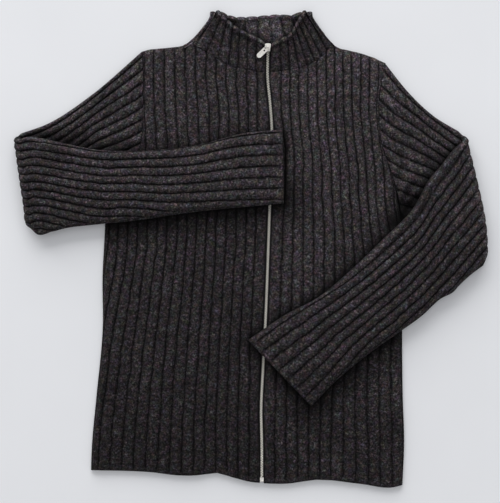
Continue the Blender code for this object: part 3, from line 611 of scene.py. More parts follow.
def sleeve_sections(table, side):
    """Fine sections from armhole to cuff: their columns, distance along, turn and outward way."""
    keys = ("top_x", "top_y", "low_x", "low_y", "bow", "first", "pitch")
    whole = np.array([table[key] for key in keys], float)
    along_fold = whole[2:4, FOLD_AT] - whole[0:2, FOLD_AT]
    along_fold = along_fold / np.hypot(*along_fold)
    outward = np.array((-along_fold[1], along_fold[0])) * side
    slide = np.tile(along_fold, 2)[:, None] * FOLD_SLIDE[side]
    whole[0:4, FOLD_AT] -= np.tile(outward, 2) * FOLD_REACH
    parts, places, turns = [], [], []
    start = 0.0
    for picks, turn in ((slice(0, FOLD_AT + 1), 0.0), (slice(FOLD_AT, None), 180.0)):
        part = whole[:, picks].copy()
        part[0:4, 0 if turn else -1] += slide[:, 0] * (1 if turn else -1)
        middle = (part[0:2] + part[2:4]) / 2
        run = np.concatenate(([0.0], np.cumsum(np.hypot(*np.diff(middle, axis=1)))))
        at = rows_between(0, run[-1], ROW)
        parts.append(np.array([smooth(at, run, row) for row in part]))
        places.append(start + at)
        turns.append(np.full(len(at), turn))
        start += run[-1]
        if turn == 0:
            bend = np.linspace(0, 180, FOLD_STEPS)[1:-1]
            folded = np.repeat(whole[:, FOLD_AT:FOLD_AT + 1], len(bend), axis=1)
            folded[0:4] += slide * np.sign(bend - 90) * (1 - np.sin(np.radians(bend)))
            parts.append(folded)
            places.append(start + FOLD_LEVER * np.radians(bend))
            turns.append(bend)
            start += FOLD_LEVER * math.pi
    section = dict(zip(keys, np.concatenate(parts, axis=1)))
    return section, np.concatenate(places), np.concatenate(turns), outward


def sleeve_relief(name, side, x, y, number, place, distance, share, lean, open_share):
    """Relief of a sleeve over its plain walls: of the upper side as it is sewn in, and of the under one."""
    forearm = (1 - np.cos(lean)) / 2
    to_end = place[-1] - place
    whole_number = np.where(number < 1, 1 + (1 - number) * 0.5, number)
    ribs = (rib_profile(whole_number, 30 + side) + knots(number, place, 5 + side)) * open_share
    low_ribs = -FLOOR_RECESS * np.clip((CREST - ribs) / (CREST + GROOVE_DEPTH), 0, 1)
    cuff = mix(0.4, 1.0, step(to_end, 5, 12)) * step(place, -3, 3)
    uneven = 0.45 * unevenness(x, y, 32, 13 + side)
    shown_upper = ribs * cuff + creases("upper_" + name[7:], x, y) + uneven
    pressed = FOLD_PRESS * np.sin(lean)
    fold_ribs = ribs * (1 - pressed) + 0.6 * pressed
    puff = PUFF * np.sin(np.pi * share) ** 0.6
    shown_fore = fold_ribs * cuff + creases("fore_" + name[7:], x, y) + uneven + puff * step(to_end, 0, 60)
    tube = EDGE_TUBE[side] * np.exp(-((distance - 8) / 4.5) ** 2)
    shown_fore = shown_fore + tube * mix(0.4, 1, step(to_end, 100, 260))
    shown_fore = shown_fore + CAST_ON * (1 - step(to_end, 5, 9)) * step(to_end, 0, 2)
    squeeze = 1 - 0.75 * np.sin(lean)
    upper_side = mix(shown_upper, 0.45 * ribs * cuff, forearm) * squeeze
    return upper_side, mix(low_ribs, shown_fore, forearm)


def ring(top, low):
    """Both sides of a flat tube as one way round, with the edges that they share once."""
    return np.concatenate((top, low[:, -2:0:-1]), axis=1)


def knit_tube(name, outer, inner, picks, number, place, material):
    """A tube's wall from its outer rings and fewer inner ones, closed at both open ends."""
    points = np.concatenate((outer, inner[picks]))
    along = np.concatenate((place, place[picks])) / RIB
    marks = np.stack(np.broadcast_arrays(ring(number, number), along), axis=-1)
    ids = np.arange(points.size // 3).reshape(points.shape[:2])
    faces = grid_faces(np.concatenate((ids, ids[:1])), around=True)
    return knit_piece(name, points.reshape(-1, 3), marks.reshape(-1, 2), faces, material)


def sleeve_shell(name, table, side, material):
    """A sleeve as one flattened tube, folded over at the elbow, open at the cuff."""
    section, place, turn, outward = sleeve_sections(table, side)
    section = {key: values[:, None] for key, values in section.items()}
    place, lean = place[:, None], np.radians(turn)[:, None]
    number = rib_numbers(SLEEVE_RIBS)[None, :]
    length = np.hypot(section["top_x"] - section["low_x"], section["top_y"] - section["low_y"])
    first, pitch = section["first"], section["pitch"]
    distance = np.where(number < 1, number * first, first + (number - 1) * pitch)
    wander = 0.9 * unevenness(number * 9, place, 26, 9 + side) + lumps(number, place, 11 + side)
    distance = distance + wander * step(number, 0.3, 1.5)
    distance, open_share = wrap(distance, length)
    distance[:, -1] = length[:, 0]
    share = distance / length
    forearm = (1 - np.cos(lean)) / 2
    at_armhole = 1 - step(place, 0, 70)
    to_end = place[-1] - place

    def plan(share):
        x = mix(section["top_x"], section["low_x"], share)
        y = mix(section["top_y"], section["low_y"], share)
        bow = section["bow"] * BOW_SHAPE * share ** 2 * (1 - share)
        seam_y = mix(table["top_y"][0], table["low_y"][0], share)
        seam_x = outer_edge(seam_y, side) + side * ARMHOLE_GAP
        chord_x = mix(table["top_x"][0], table["low_x"][0], share)
        return x + outward[0] * bow + (seam_x - chord_x) * at_armhole, y + outward[1] * bow

    def around(x, y, height):
        """Turn a point of the flat sleeve round the fold's axis."""
        lever = FOLD_LEVER - height
        shift = lever * np.sin(lean)
        turned = (x + outward[0] * shift, y + outward[1] * shift, FOLD_HEIGHT - lever * np.cos(lean))
        return np.stack(turned, axis=-1)

    x, y = plan(share)
    free = np.minimum(distance, length - distance)
    low_round = mix(SLEEVE_ROUND, LOW_ROUND, forearm)
    round_off = np.minimum(rounding(distance, SLEEVE_ROUND), rounding(length - distance, low_round))
    lip = rounding(to_end, CUFF_LIP)
    seam_dip = mix(0.95, 1.0, rounding(place, 4))
    upper_side, under_side = sleeve_relief(
        name, side, x, y, number, place, distance, share, lean, open_share)
    middle = (SLEEVE_HALF + SLEEVE_HOLLOW / 2) / 2
    rings = []
    for sign, rise, dip in ((1, upper_side, seam_dip), (-1, under_side, 1.0)):
        height = (SLEEVE_HALF + rise) * round_off * dip
        height = mix(middle * round_off, height, lip)
        rings.append(around(x, y, sign * height))
    margin = WALL + 1.0
    inner_x, inner_y = plan(mix(margin, length - margin, share) / length)
    gap = mix(middle, SLEEVE_HOLLOW / 2, lip) * rounding(free + 0.5, 3.0)
    inner_rings = [around(inner_x, inner_y, sign * gap) for sign in (1, -1)]
    bend = (turn > 0) & (turn < 180)
    rows = np.arange(len(place))
    picks = np.flatnonzero((rows % 8 == 0) | (rows >= len(place) - 6) | bend)[::-1]
    piece = knit_tube(name, ring(*rings), ring(*inner_rings), picks, number, place, material)
    width = 2 * length[:, 0]
    return piece, (width.max(), place[-1, 0], width.mean() * place[-1, 0])


def collar_stations():
    """Lines up the collar from the zip round the neck.

    Each has a seam point, an edge point, a facing, a rib number and how its middle bends in.
    """
    lift = FRONT_INSIDE + WALL / 2
    stations = []

    def add_lines(lines, picks, upper, first_number):
        for count, i in enumerate(picks):
            low, high = (lift, lift + COLLAR_LIFT) if upper else (WALL / 2, WALL / 2)
            seam = (lines["seam_x"][i], lines["seam_y"][i], low)
            edge = (lines["edge_x"][i], lines["edge_y"][i], high)
            stations.append((*seam, *edge, 0, 0, 1 if upper else -1, first_number + count, 0, 0))

    def add_fold(line, side, turns, first_number):
        along = np.array((line[2] - line[0], line[3] - line[1]))
        outward = np.array((along[1], -along[0])) * side / np.hypot(*along)
        for count, turn in enumerate(turns):
            lean = math.radians(turn)
            facing = (outward[0] * math.sin(lean), outward[1] * math.sin(lean), math.cos(lean))
            ends = []
            for x, y, rise in ((line[0], line[1], 0.0), (line[2], line[3], COLLAR_LIFT)):
                reach = (WALL + LAYER_GAP + rise) / 2
                inset = reach + WALL / 2 + CREST
                centre = (x - outward[0] * inset, y - outward[1] * inset, WALL / 2 + reach)
                ends += [centre[axis] + facing[axis] * reach for axis in range(3)]
            hollow = -COLLAR_FOLD_HOLLOW[side] * outward
            stations.append((*ends, *facing, first_number + COLLAR_FOLD_NUMBERS[count], *hollow))

    turns = (0, 45, 90, 135, 180)
    add_lines(COLLAR_RIGHT, range(8), True, 0)
    add_fold(COLLAR_FOLD_RIGHT, -1, turns, 7)
    add_lines(COLLAR_BACK, range(9), False, 10)
    add_fold(COLLAR_FOLD_LEFT, 1, turns[::-1], 18)
    add_lines(COLLAR_LEFT, range(7, -1, -1), True, 21)
    return np.array(stations, float)


def collar_shell(name, material, painted_lit_wool):
    """The funnel collar: one ribbed strip round the neck, folded flat at both sides."""
    stations = collar_stations()
    index = np.arange(len(stations))
    at = rib_numbers(len(stations) - 1)
    fine = np.array([smooth(at, index, column) for column in stations.T])
    seam, edge, facing = fine[0:3].T[:, None], fine[3:6].T[:, None], fine[6:9].T[:, None]
    facing = facing / np.linalg.norm(facing, axis=-1, keepdims=True)
    number = np.interp(at, index, stations[:, 9])[:, None]
    hollow = np.stack((fine[10], fine[11], 0 * at), axis=-1)[:, None]
    peak = (rib_profile(number, 41) + GROOVE_DEPTH) / (GROOVE_DEPTH + CREST)
    line = edge - seam
    flat = facing[..., 2] ** 2
    stands_out = SCALLOP * (peak - 0.6) * flat - 0.4 * (1 - flat)
    edge = edge + line / np.linalg.norm(line, axis=-1, keepdims=True) * stands_out[..., None]
    tall = np.linalg.norm(edge - seam, axis=-1)
    v = np.array(COLLAR_LEVELS)[None, :]
    middle = mix(seam, edge, v[..., None]) + hollow * (4 * v * (1 - v))[..., None]
    up = tall * v
    round_off = np.minimum(rounding(up + 2.2, 3.0), rounding(tall - up, 3.6))
    end_free = np.minimum(at, at[-1] - at)[:, None] * RIB
    round_off = round_off * mix(0.35, 1.0, rounding(end_free, 3.0))
    roll = ROLL * np.exp(-((tall - up - ROLL_INSET) / ROLL_SPREAD) ** 2)
    shown = step(up, -3, 1.5) * step(tall - up, -1, 5) * step(end_free, 0, 4)
    ribs = COLLAR_RELIEF * rib_profile(number + 0 * v, 41) + knots(number, up, 9)
    over = step(facing[..., 2], -0.6, 0.2)
    bump = (0.4 + 0.7 * unevenness(middle[..., 0], 0 * up, 9, 47)) * np.exp(-((up - 5) / 3) ** 2)
    wave = 0.35 * unevenness(middle[..., 0], middle[..., 1], 22, 43)
    outer_rise = (ribs * mix(0.3, 1, shown) + bump + roll + wave) * over
    inner_rise = (ribs * shown + roll) * (1 - over)
    outer_round = np.where(over > 0.01, round_off, mix(0.6, 1, round_off))
    outer = middle + facing * ((WALL / 2 + outer_rise) * outer_round)[..., None]
    inner = middle - facing * ((WALL / 2 + inner_rise) * round_off)[..., None]
    outer[..., 2] = np.maximum(outer[..., 2], 0.0)
    rings = np.concatenate((outer, inner[:, ::-1]), axis=1)
    marks_v = np.concatenate((up, up[:, ::-1]), axis=1) / RIB
    marks = np.stack(np.broadcast_arrays(number, marks_v), axis=-1)
    ids = np.arange(rings.shape[0] * rings.shape[1]).reshape(rings.shape[:2])
    faces = grid_faces(ids, around=True) + [tuple(ids[0].tolist()), tuple(ids[-1][::-1].tolist())]
    piece = knit_piece(name, rings.reshape(-1, 3), marks.reshape(-1, 2), faces, material)
    around_neck = float(np.linalg.norm(np.diff(middle[:, 12], axis=0), axis=-1).sum())
    paint_collar_light(piece, painted_lit_wool, number[:, 0], tall[:, 0] / RIB)
    return piece, (around_neck, float(tall.max()), around_neck * float(tall.mean()))


def paint_collar_light(collar, material, numbers, edges):
    """Give the collar's inner side and rolled edge, which face the light, a much lighter copy of its wool as
    painted light.
    """
    mesh = collar.data
    mesh.materials.append(material)
    knit = mesh.uv_layers["knit"].data
    for face in mesh.polygons:
        number, up = knit[face.loop_start].uv
        rolled = (np.interp(number, numbers, edges) - up) * RIB < ROLL_WIDTH
        if face.normal.z > 0 and (rolled or INSIDE_NUMBERS[0] < number < INSIDE_NUMBERS[1]):
            face.material_index = 1


def linear(hex_colour):
    """A linear colour from an sRGB hex value."""
    channels = [int(hex_colour[i:i + 2], 16) / 255 for i in (1, 3, 5)]
    return [c / 12.92 if c <= 0.04045 else ((c + 0.055) / 1.055) ** 2.4 for c in channels] + [1.0]


def add_node(tree, kind, inputs=None, output=0, **settings):
    """Add a shader node, set its properties, link or set its inputs, and give one of its outputs."""
    node = tree.nodes.new("ShaderNode" + kind)
    for key, value in settings.items():
        setattr(node, key, value)
    for key, value in (inputs or {}).items():
        if isinstance(value, bpy.types.NodeSocket):
            tree.links.new(value, node.inputs[key])
        else:
            node.inputs[key].default_value = value
    return node.outputs[output]


def new_material(name, **constants):
    material = bpy.data.materials.new(name)
    material.use_nodes = True
    shader = material.node_tree.nodes["Principled BSDF"]
    for key, value in constants.items():
        shader.inputs[key.replace("_", " ")].default_value = value
    return material, material.node_tree, shader


def knit_stitches(tree):
    """Rib number, cell of each stitch and relief: two slanted legs to a wale, course above course."""
    knit = add_node(tree, "UVMap", uv_map="knit")
    rib, up = add_node(tree, "SeparateXYZ", {0: knit}).node.outputs[:2]
    wale = add_node(tree, "Math", {0: rib, 1: WALES, 2: 0.5}, operation="MULTIPLY_ADD")
    in_wale = add_node(tree, "Math", {0: wale}, operation="FRACT")
    from_middle = add_node(tree, "Math", {0: in_wale, 1: 0.5}, operation="SUBTRACT")
    leg = add_node(tree, "Math", {0: from_middle}, operation="ABSOLUTE")
    course = add_node(tree, "Math", {0: up, 1: RIB / COURSE}, operation="MULTIPLY")
    slant = add_node(tree, "Math", {0: leg, 1: -1.1, 2: course}, operation="MULTIPLY_ADD")
    leg_wave = add_node(tree, "Math", {0: leg, 1: 2 * math.pi}, operation="MULTIPLY")
    leg_height = add_node(tree, "Math", {0: leg_wave}, operation="SINE")
    slant_wave = add_node(tree, "Math", {0: slant, 1: math.pi}, operation="MULTIPLY")
    slant_sine = add_node(tree, "Math", {0: slant_wave}, operation="SINE")
    slant_height = add_node(tree, "Math", {0: slant_sine}, operation="ABSOLUTE")
    stitch = add_node(tree, "Math", {0: leg_height, 1: slant_height}, operation="MULTIPLY")
    return rib, add_node(tree, "CombineXYZ", {0: wale, 1: slant}), stitch


def wool_fibres(tree, place):
    """Patterns in the wool: patches, clouds, flecks, hairs and dyed spots."""
    return [
        add_node(tree, "TexNoise", {
            "Vector": place, "Scale": 1 / (size * MM), "Detail": detail, "Roughness": rough}, output=output)
        for size, detail, rough, output in WOOL_FIBRES
    ]


def yarn_colour(tree, cell, patch, fleck, dye):
    """Colour of the marl yarn: each stitch has its own mix of dark, grey and brown fibres."""
    yarn = add_node(tree, "TexVoronoi", {"Vector": cell, "Scale": 0.9}, output="Color")
    yarn_shade, yarn_brown, yarn_tint = add_node(tree, "SeparateColor", {0: yarn}).node.outputs
    soft_patch = add_node(tree, "Math", {0: patch, 1: 0.45, 2: 0.35}, operation="MULTIPLY_ADD")
    shade = add_node(tree, "Math", {0: yarn_shade, 1: 0.3, 2: soft_patch}, operation="MULTIPLY_ADD")
    shade = add_node(tree, "Math", {0: fleck, 1: shade}, operation="ADD")
    shade_share = add_node(tree, "MapRange", {"Value": shade, "From Min": 0.78, "From Max": 1.66})
    tones = add_node(tree, "ValToRGB", {0: shade_share})
    fibre_tint = add_node(tree, "ValToRGB", {0: yarn_tint})
    for ramp, stops in ((tones, WOOL_SHADES), (fibre_tint, FIBRE_TINTS)):
        elements = ramp.node.color_ramp.elements
        for position, colour in stops:
            stop = elements.new(position) if 0 < position < 1 else elements[0 if position == 0 else -1]
            stop.color = linear(colour)
    brown_share = add_node(
        tree, "MapRange", {"Value": yarn_brown, "From Min": 0.62, "From Max": 0.95, "To Max": 0.3})
    brown = add_node(
        tree, "Mix", {0: brown_share, 6: tones, 7: linear("#40342d")}, output=2, data_type="RGBA")
    dye_tint = add_node(
        tree, "VectorMath", {0: dye, 1: (0.8, 0.76, 0.8), 2: (0.6, 0.62, 0.6)}, operation="MULTIPLY_ADD")
    tinted = add_node(tree, "VectorMath", {0: brown, 1: fibre_tint}, operation="MULTIPLY")
    return add_node(tree, "VectorMath", {0: tinted, 1: dye_tint}, operation="MULTIPLY")


def wool_depth(tree, place, rib, cloud, fleck, tone, groove):
    """Share of its light that each point keeps: cloudy wear and flecks, painted shade in the ragged grooves,
    painted ambient occlusion shade, painted shadows beside the forearms, and a painted falloff of light
    towards the hem.
    """
    from_groove = add_node(tree, "Math", {0: rib, 1: 0.5}, operation="PINGPONG")
    ragged = add_node(tree, "Math", {0: fleck, 1: 0.16, 2: from_groove}, operation="MULTIPLY_ADD")
    # painted shade: the colour darkens into each groove between the ribs
    painted_groove_shade = add_node(tree, "MapRange", {
        "Value": ragged, "From Min": 0.08, "From Max": 0.27, "To Min": groove, "To Max": 1.06,
    }, interpolation_type="SMOOTHSTEP")
    overall = add_node(tree, "MapRange", {
        "Value": cloud, "From Min": 0.3, "From Max": 0.7, "To Min": 0.86 * tone, "To Max": 1.14 * tone})
    # painted shadow beside the forearms, read from the hollow attribute, darkens the colour
    beside = add_node(tree, "Attribute", output="Fac", attribute_name="hollow")
    lit = add_node(tree, "Math", {0: 1.0, 1: beside}, operation="SUBTRACT")
    # painted shade: ambient occlusion darkens the colour in grooves, creases and under the forearms
    open_share = add_node(tree, "AmbientOcclusion", {"Distance": 42 * MM}, output="AO", samples=8)
    painted_occlusion_shade = add_node(tree, "Math", {0: open_share, 1: 2.3}, operation="POWER")
    speckle = add_node(tree, "MapRange", {
        "Value": fleck, "From Min": 0.36, "From Max": 0.66, "To Min": 0.56, "To Max": 1.26})
    # painted light falloff: the colour darkens towards the hem
    height = add_node(tree, "SeparateXYZ", {0: place}, output=1)
    painted_falloff = add_node(tree, "MapRange", {
        "Value": height, "From Min": -0.31, "From Max": 0.27, "To Min": 0.46, "To Max": 1.12})
    depth = painted_groove_shade
    for factor in (overall, lit, painted_occlusion_shade, speckle, painted_falloff):
        depth = add_node(tree, "Math", {0: depth, 1: factor}, operation="MULTIPLY")
    return depth


def marl_wool(name, tone, groove):
    """Carded wool, rib knit from marl yarn: dull and hairy, each stitch its own mix of fibres."""
    material, tree, shader = new_material(
        name, Roughness=0.92, Specular_IOR_Level=0.12, Sheen_Weight=0.04, Sheen_Roughness=0.6,
        Sheen_Tint=linear("#8d868c"))
    place = add_node(tree, "TexCoord", output="Object")
    rib, cell, stitch = knit_stitches(tree)
    patch, cloud, fleck, hair, dye = wool_fibres(tree, place)
    colour = yarn_colour(tree, cell, patch, fleck, dye)
    depth = wool_depth(tree, place, rib, cloud, fleck, tone, groove)
    shaded = add_node(tree, "VectorMath", {0: colour, 1: depth}, operation="MULTIPLY")
    tree.links.new(shaded, shader.inputs["Base Color"])
    inputs = {}
    # Stitches, hairs, and small lumps of felted wool: how deep in millimetres and how strong
    for relief, distance, strength in ((stitch, 0.5, 0.9), (hair, 0.5, 0.8), (fleck, 1.2, 0.8)):
        inputs.update({"Height": relief, "Distance": distance * MM, "Strength": strength})
        inputs["Normal"] = add_node(tree, "Bump", inputs)
    tree.links.new(inputs["Normal"], shader.inputs["Normal"])
    return material


def bright_metal(name, colour, roughness, grain, metallic):
    """Nickel-plated brass, tumbled smooth: bright and slightly warm, with fine wear."""
    material, tree, shader = new_material(name, Metallic=metallic)
    place = add_node(tree, "TexCoord", output="Object")
    wear = add_node(tree, "TexNoise", {"Vector": place, "Scale": 1 / (grain * MM), "Detail": 3.0})
    rough = add_node(tree, "MapRange", {
        "Value": wear, "From Min": 0.3, "From Max": 0.7, "To Min": roughness * 0.75,
        "To Max": roughness * 1.35})
    tint = add_node(
        tree, "Mix", {0: wear, 6: linear(colour), 7: linear("#d2cdc4")}, output=2, data_type="RGBA")
    bump = add_node(tree, "Bump", {"Height": wear, "Distance": 0.05 * MM, "Strength": 0.4})
    tree.links.new(tint, shader.inputs["Base Color"])
    tree.links.new(rough, shader.inputs["Roughness"])
    tree.links.new(bump, shader.inputs["Normal"])
    return material


def woven_tape(name):
    """Polyester zip tape, plain woven: dark and faintly shiny across its threads."""
    material, tree, shader = new_material(name, Roughness=0.7)
    place = add_node(tree, "TexCoord", output="Object")
    threads = add_node(tree, "TexWave", {
        "Vector": place, "Scale": 1 / (0.6 * MM) / 6.28, "Distortion": 0.4,
    }, output="Fac", bands_direction="Y")
    tint = add_node(
        tree, "Mix", {0: threads, 6: linear("#141314"), 7: linear("#2c2a2c")}, output=2, data_type="RGBA")
    bump = add_node(tree, "Bump", {"Height": threads, "Distance": 0.15 * MM})
    tree.links.new(tint, shader.inputs["Base Color"])
    tree.links.new(bump, shader.inputs["Normal"])
    return material


def zip_base(y):
    """Height of the zip tape's underside, which rises with the collar."""
    return FRONT_INSIDE + ZIP_RISE * np.clip((y - ZIP_BEND[0]) / (ZIP_BEND[1] - ZIP_BEND[0]), 0, 1)


def zip_tape(name, material):
    """The two halves of the woven tape beside the chain, as one strip with a step under the teeth."""
    across, above = np.array(TAPE_SECTION).T
    level = np.arange(ZIP_FOOT, ZIP_HEAD, PLAIN_ROW)[:, None]
    places = np.broadcast_arrays(zip_middle(level) + across, level, zip_base(level) + above)
    points = np.stack(places, axis=-1)
    ids = np.arange(points.size // 3).reshape(points.shape[:2])
    faces = grid_faces(ids, around=True) + [tuple(ids[0].tolist()), tuple(ids[-1][::-1].tolist())]
    piece = add_piece(name, points.reshape(-1, 3), faces, material)
    mend(piece.data)
    return piece


def primitive(kind, place, size, turn=(0.0, 0.0, 0.0)):
    """A cube or cylinder stretched to a size, in millimetres."""
    bpy.ops.object.select_all(action="DESELECT")
    if kind == "cube":
        bpy.ops.mesh.primitive_cube_add(size=1, location=place, rotation=turn)
    else:
        bpy.ops.mesh.primitive_cylinder_add(vertices=40, radius=0.5, depth=1, location=place, rotation=turn)
    piece = bpy.context.object
    piece.scale = size
    bpy.ops.object.transform_apply(location=True, rotation=True, scale=True)
    return piece


def wear_edges(piece, width, segments):
    """Ease a piece's sharp edges."""
    worn = piece.modifiers.new("worn_edges", "BEVEL")
    worn.width = width
    worn.segments = segments
    worn.limit_method = "ANGLE"
    worn.angle_limit = math.radians(35)
    bpy.context.view_layer.objects.active = piece
    bpy.ops.object.modifier_apply(modifier=worn.name)


def one_tooth():
    """A single tooth, as points and faces in millimetres, with its nub towards +X."""
    tooth = primitive("cube", (0, 0, 0), TOOTH_SIZE)
    wear_edges(tooth, TOOTH_BEVEL, 1)
    points = np.array([vert.co for vert in tooth.data.vertices])
    faces = [tuple(face.vertices) for face in tooth.data.polygons]
    bpy.data.objects.remove(tooth, do_unlink=True)
    points[:, 1] *= np.where(points[:, 0] > 0.6, 0.78, 1.0)
    return points, faces


def zip_teeth(name, side, material):
    """One side's teeth, set along the zip and half a pitch off the other side's."""
    tooth, tooth_faces = one_tooth()
    start = ZIP_FOOT + 1 + (TOOTH_PITCH / 2 if side > 0 else 0)
    level = np.arange(start, ZIP_HEAD - 1, TOOTH_PITCH)[:, None]
    lean = (zip_middle(level + 1) - zip_middle(level - 1)) / 2
    across, along, up = (tooth * (-side, 1, 1) + (side * TOOTH_OFFSET, 0, 0)).T
    points = np.stack((
        zip_middle(level) + across + along * lean,
        level + along - across * lean,
        zip_base(level) + TOOTH_RISE + up,
    ), axis=-1)
    faces = [
        tuple(corner + count * len(tooth) for corner in (face[::-1] if side > 0 else face))
        for count in range(len(level)) for face in tooth_faces
    ]
    return add_piece(name, points.reshape(-1, 3), faces, material)


def combine(piece, operation, *others):
    """Join other shapes to a piece or cut them out of it."""
    for other in others:
        change = piece.modifiers.new("combine", "BOOLEAN")
        change.operation, change.object, change.solver = operation, other, "EXACT"
        bpy.context.view_layer.objects.active = piece
        bpy.ops.object.modifier_apply(modifier=change.name)
        bpy.data.objects.remove(other, do_unlink=True)


def finish_fitting(piece, node, body, place, material):
    """Ease a fitting's edges, set it in its place and let it stand for its solid."""
    wear_edges(piece, FITTING_BEVEL, 2)
    piece.data.transform(place @ Matrix.Scale(MM, 4))
    piece.name = node + "_metal"
    piece.data.materials.clear()
    piece.data.materials.append(material)
    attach(piece, body)
    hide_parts(node)


def fitting_place(node):
    """The middle of a solid's underside."""
    low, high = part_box(node)
    return Matrix.Translation(((low[0] + high[0]) / 2, (low[1] + high[1]) / 2, low[2]))


def make_slider(material):
    """Slider: two plates with side flanges, flared to the top, an arched bail and a round crown."""
    sideways = (0.0, math.pi / 2, 0.0)
    body = primitive("cube", (0, 0, 1.2), (9.0, 11.4, 2.4))
    bpy.ops.object.mode_set(mode="EDIT")
    bpy.ops.mesh.select_all(action="SELECT")
    bpy.ops.mesh.subdivide(number_cuts=5)
    bpy.ops.object.mode_set(mode="OBJECT")
    for vert in body.data.vertices:
        vert.co.x *= np.interp(vert.co.y, (-5.7, -1.9, 1.9, 5.7), (0.72, 0.76, 0.96, 1.0))
        if vert.co.y > 5.6:
            vert.co.y += 0.3 - 0.8 * (vert.co.x / 4.5) ** 2
    slots = [primitive("cube", (x, 0, 1.25), (2.2, 14, 0.7)) for x in (-4.6, 4.6)]
    combine(body, "DIFFERENCE", *slots)
    bail = primitive("cylinder", (0, 0, 2.3), (8.2, 6.0, 1.4), sideways)
    combine(bail, "DIFFERENCE", primitive("cylinder", (0, 0, 2.3), (6.2, 4.2, 3.0), sideways))
    combine(bail, "DIFFERENCE", primitive("cube", (0, 0, -1.5), (4, 8, 6.4)))
    crown = primitive("cylinder", (0, 4.2, 2.6), (4.4, 2.6, 1.4))
    combine(body, "UNION", bail, crown)
    finish_fitting(body, "zip_slider", "garment", fitting_place("zip_slider"), material)


def make_pull(material):
    """Pull tab: a plate round at its tip, with a window that loops it round the bail and a sunk face."""
    plate = primitive("cube", (8.55, 0, 0), (18.3, 7.5, 1.4))
    combine(plate, "UNION", primitive("cylinder", (17.7, 0, 0), (7.5, 7.5, 1.4)))
    combine(plate, "DIFFERENCE", primitive("cube", (2.6, 0, 0), (4.0, 5.8, 4)))
    combine(plate, "DIFFERENCE", primitive("cylinder", (7.3, 0, 0), (2.6, 2.6, 4)))
    for face in (-1, 1):
        sunk = primitive("cube", (13.9, 0, face * 0.75), (7.6, 5.3, 0.6))
        combine(sunk, "UNION", primitive("cylinder", (17.7, 0, face * 0.75), (5.3, 5.3, 0.6)))
        combine(plate, "DIFFERENCE", sunk)
    low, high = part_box("zip_slider")
    hinge = ((low[0] + high[0]) / 2, (low[1] + high[1]) / 2, low[2] + HINGE_RISE * MM)
    turn = Matrix.Rotation(math.radians(PULL_TURN), 4, "Z") @ Matrix.Rotation(math.radians(PULL_DIP), 4, "Y")
    finish_fitting(plate, "zip_pull", "pull_tab", Matrix.Translation(hinge) @ turn, material)


def make_box(material):
    """Box at the foot of the zip: a block with a sunk middle and a slit across its foot."""
    block = primitive("cube", (0, 0, 1.7), (5.4, 6.0, 3.4))
    sunk = primitive("cube", (0, 0.3, 3.4), (3.2, 3.4, 0.8))
    slit = primitive("cube", (0, -2.0, 3.4), (6, 0.5, 0.5))
    combine(block, "DIFFERENCE", sunk, slit)
    finish_fitting(block, "zip_box", "garment", fitting_place("zip_box"), material)


def make_floor():
    """A pale, matt board."""
    bpy.ops.object.select_all(action="DESELECT")
    bpy.ops.mesh.primitive_circle_add(
        vertices=96, radius=FLOOR_RADIUS, fill_type="NGON", location=(0, 0, -0.0002))
    floor = bpy.context.object
    floor.name = "floor"
    material, tree, shader = new_material("matt_white_board", Roughness=0.85)
    place = add_node(tree, "TexCoord", output="Object")
    mottle = add_node(tree, "TexNoise", {"Vector": place, "Scale": 6.0, "Detail": 2.0})
    tint = add_node(
        tree, "Mix", {0: mottle, 6: linear("#e7e8eb"), 7: linear("#eeeff2")}, output=2, data_type="RGBA")
    tree.links.new(tint, shader.inputs["Base Color"])
    floor.data.materials.append(material)


def make_light():
    """A bright room, and a window beyond the collar."""
    world = bpy.data.worlds.new("soft_room")
    world.use_nodes = True
    background = world.node_tree.nodes["Background"]
    background.inputs[0].default_value = linear("#f8f9fb")
    background.inputs[1].default_value = WORLD_LIGHT
    bpy.context.scene.world = world
    window = bpy.data.lights.new("window", "AREA")
    window.shape = "RECTANGLE"
    window.size, window.size_y = WINDOW_SIZE
    window.energy = KEY_LIGHT
    lamp = bpy.data.objects.new("window", window)
    lamp.location = WINDOW_PLACE
    aim = Vector((0, 0, WINDOW_PLACE[2])) - Vector(WINDOW_PLACE)
    lamp.rotation_euler = aim.to_track_quat("-Z", "Y").to_euler()
    bpy.context.scene.collection.objects.link(lamp)


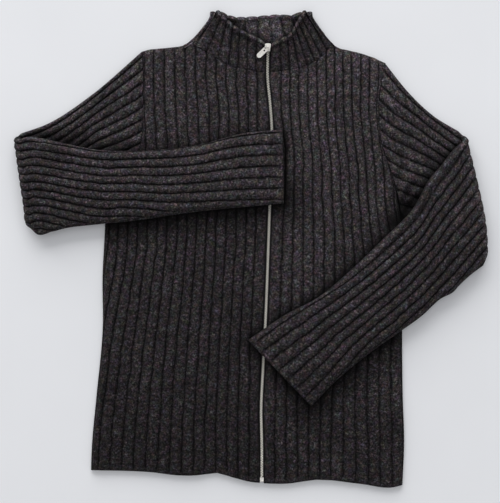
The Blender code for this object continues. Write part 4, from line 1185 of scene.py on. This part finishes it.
def make_camera():
    """A camera straight above, which shows the cloth at the photo's scale."""
    camera = bpy.data.cameras.new("camera")
    camera.lens = camera.sensor_width * CAMERA_HEIGHT / (PHOTO_HEIGHT_PX * MM_PER_PX)
    camera.clip_end = 50.0
    viewer = bpy.data.objects.new("camera", camera)
    viewer.location = (CAMERA_X * MM, CAMERA_Y * MM, (CAMERA_HEIGHT + CAMERA_FOCUS) * MM)
    bpy.context.scene.collection.objects.link(viewer)
    bpy.context.scene.camera = viewer
    bpy.context.scene.view_settings.view_transform = "Standard"


def declare(piece, node, cut):
    """Name a knitted piece, let it ride on the garment and hide the solid it stands for; the sizes of its
    cut are worked out but not kept.
    """
    width, length, area = (float(value) * MM for value in cut)
    area = min(area * MM, width * length)
    piece.name = node + "_knit"
    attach(piece, "garment")
    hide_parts(node)


def main():
    make_floor()
    make_light()
    make_camera()
    wool = {name: marl_wool("marl_wool_rib_" + name, tone, groove) for name, tone, groove in WOOL_TONES}
    back = back_shell("back_knit", wool["back"])
    declare(back, "back", (*BACK_FLAT, BACK_FLAT[0] * BACK_FLAT[1] * BACK_CUT_SHARE))
    for name, side in (("front_right", -1), ("front_left", 1)):
        piece, cut = front_shell(name, side, wool[name])
        declare(piece, name, cut)
    for name, table, side in (("sleeve_right", SLEEVE_RIGHT, -1), ("sleeve_left", SLEEVE_LEFT, 1)):
        piece, cut = sleeve_shell(name, table, side, wool[name])
        declare(piece, name, cut)
    collar, cut = collar_shell("collar_knit", wool["collar"], wool["collar_painted_lit"])
    declare(collar, "collar", cut)

    teeth_metal = bright_metal("nickel_plated_teeth", "#fdfbf0", 0.42, 1.5, 0.35)
    fitting_metal = bright_metal("nickel_plated_fittings", "#fffdfa", 0.3, 2.5, 0.3)
    tape = zip_tape("zip_tape", woven_tape("woven_zip_tape"))
    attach(tape, "garment")
    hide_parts("zip")
    for name, side in (("zip_teeth_right", -1), ("zip_teeth_left", 1)):
        teeth = zip_teeth(name, side, teeth_metal)
        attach(teeth, "garment")
    make_slider(fitting_metal)
    make_pull(fitting_metal)
    make_box(fitting_metal)


main()
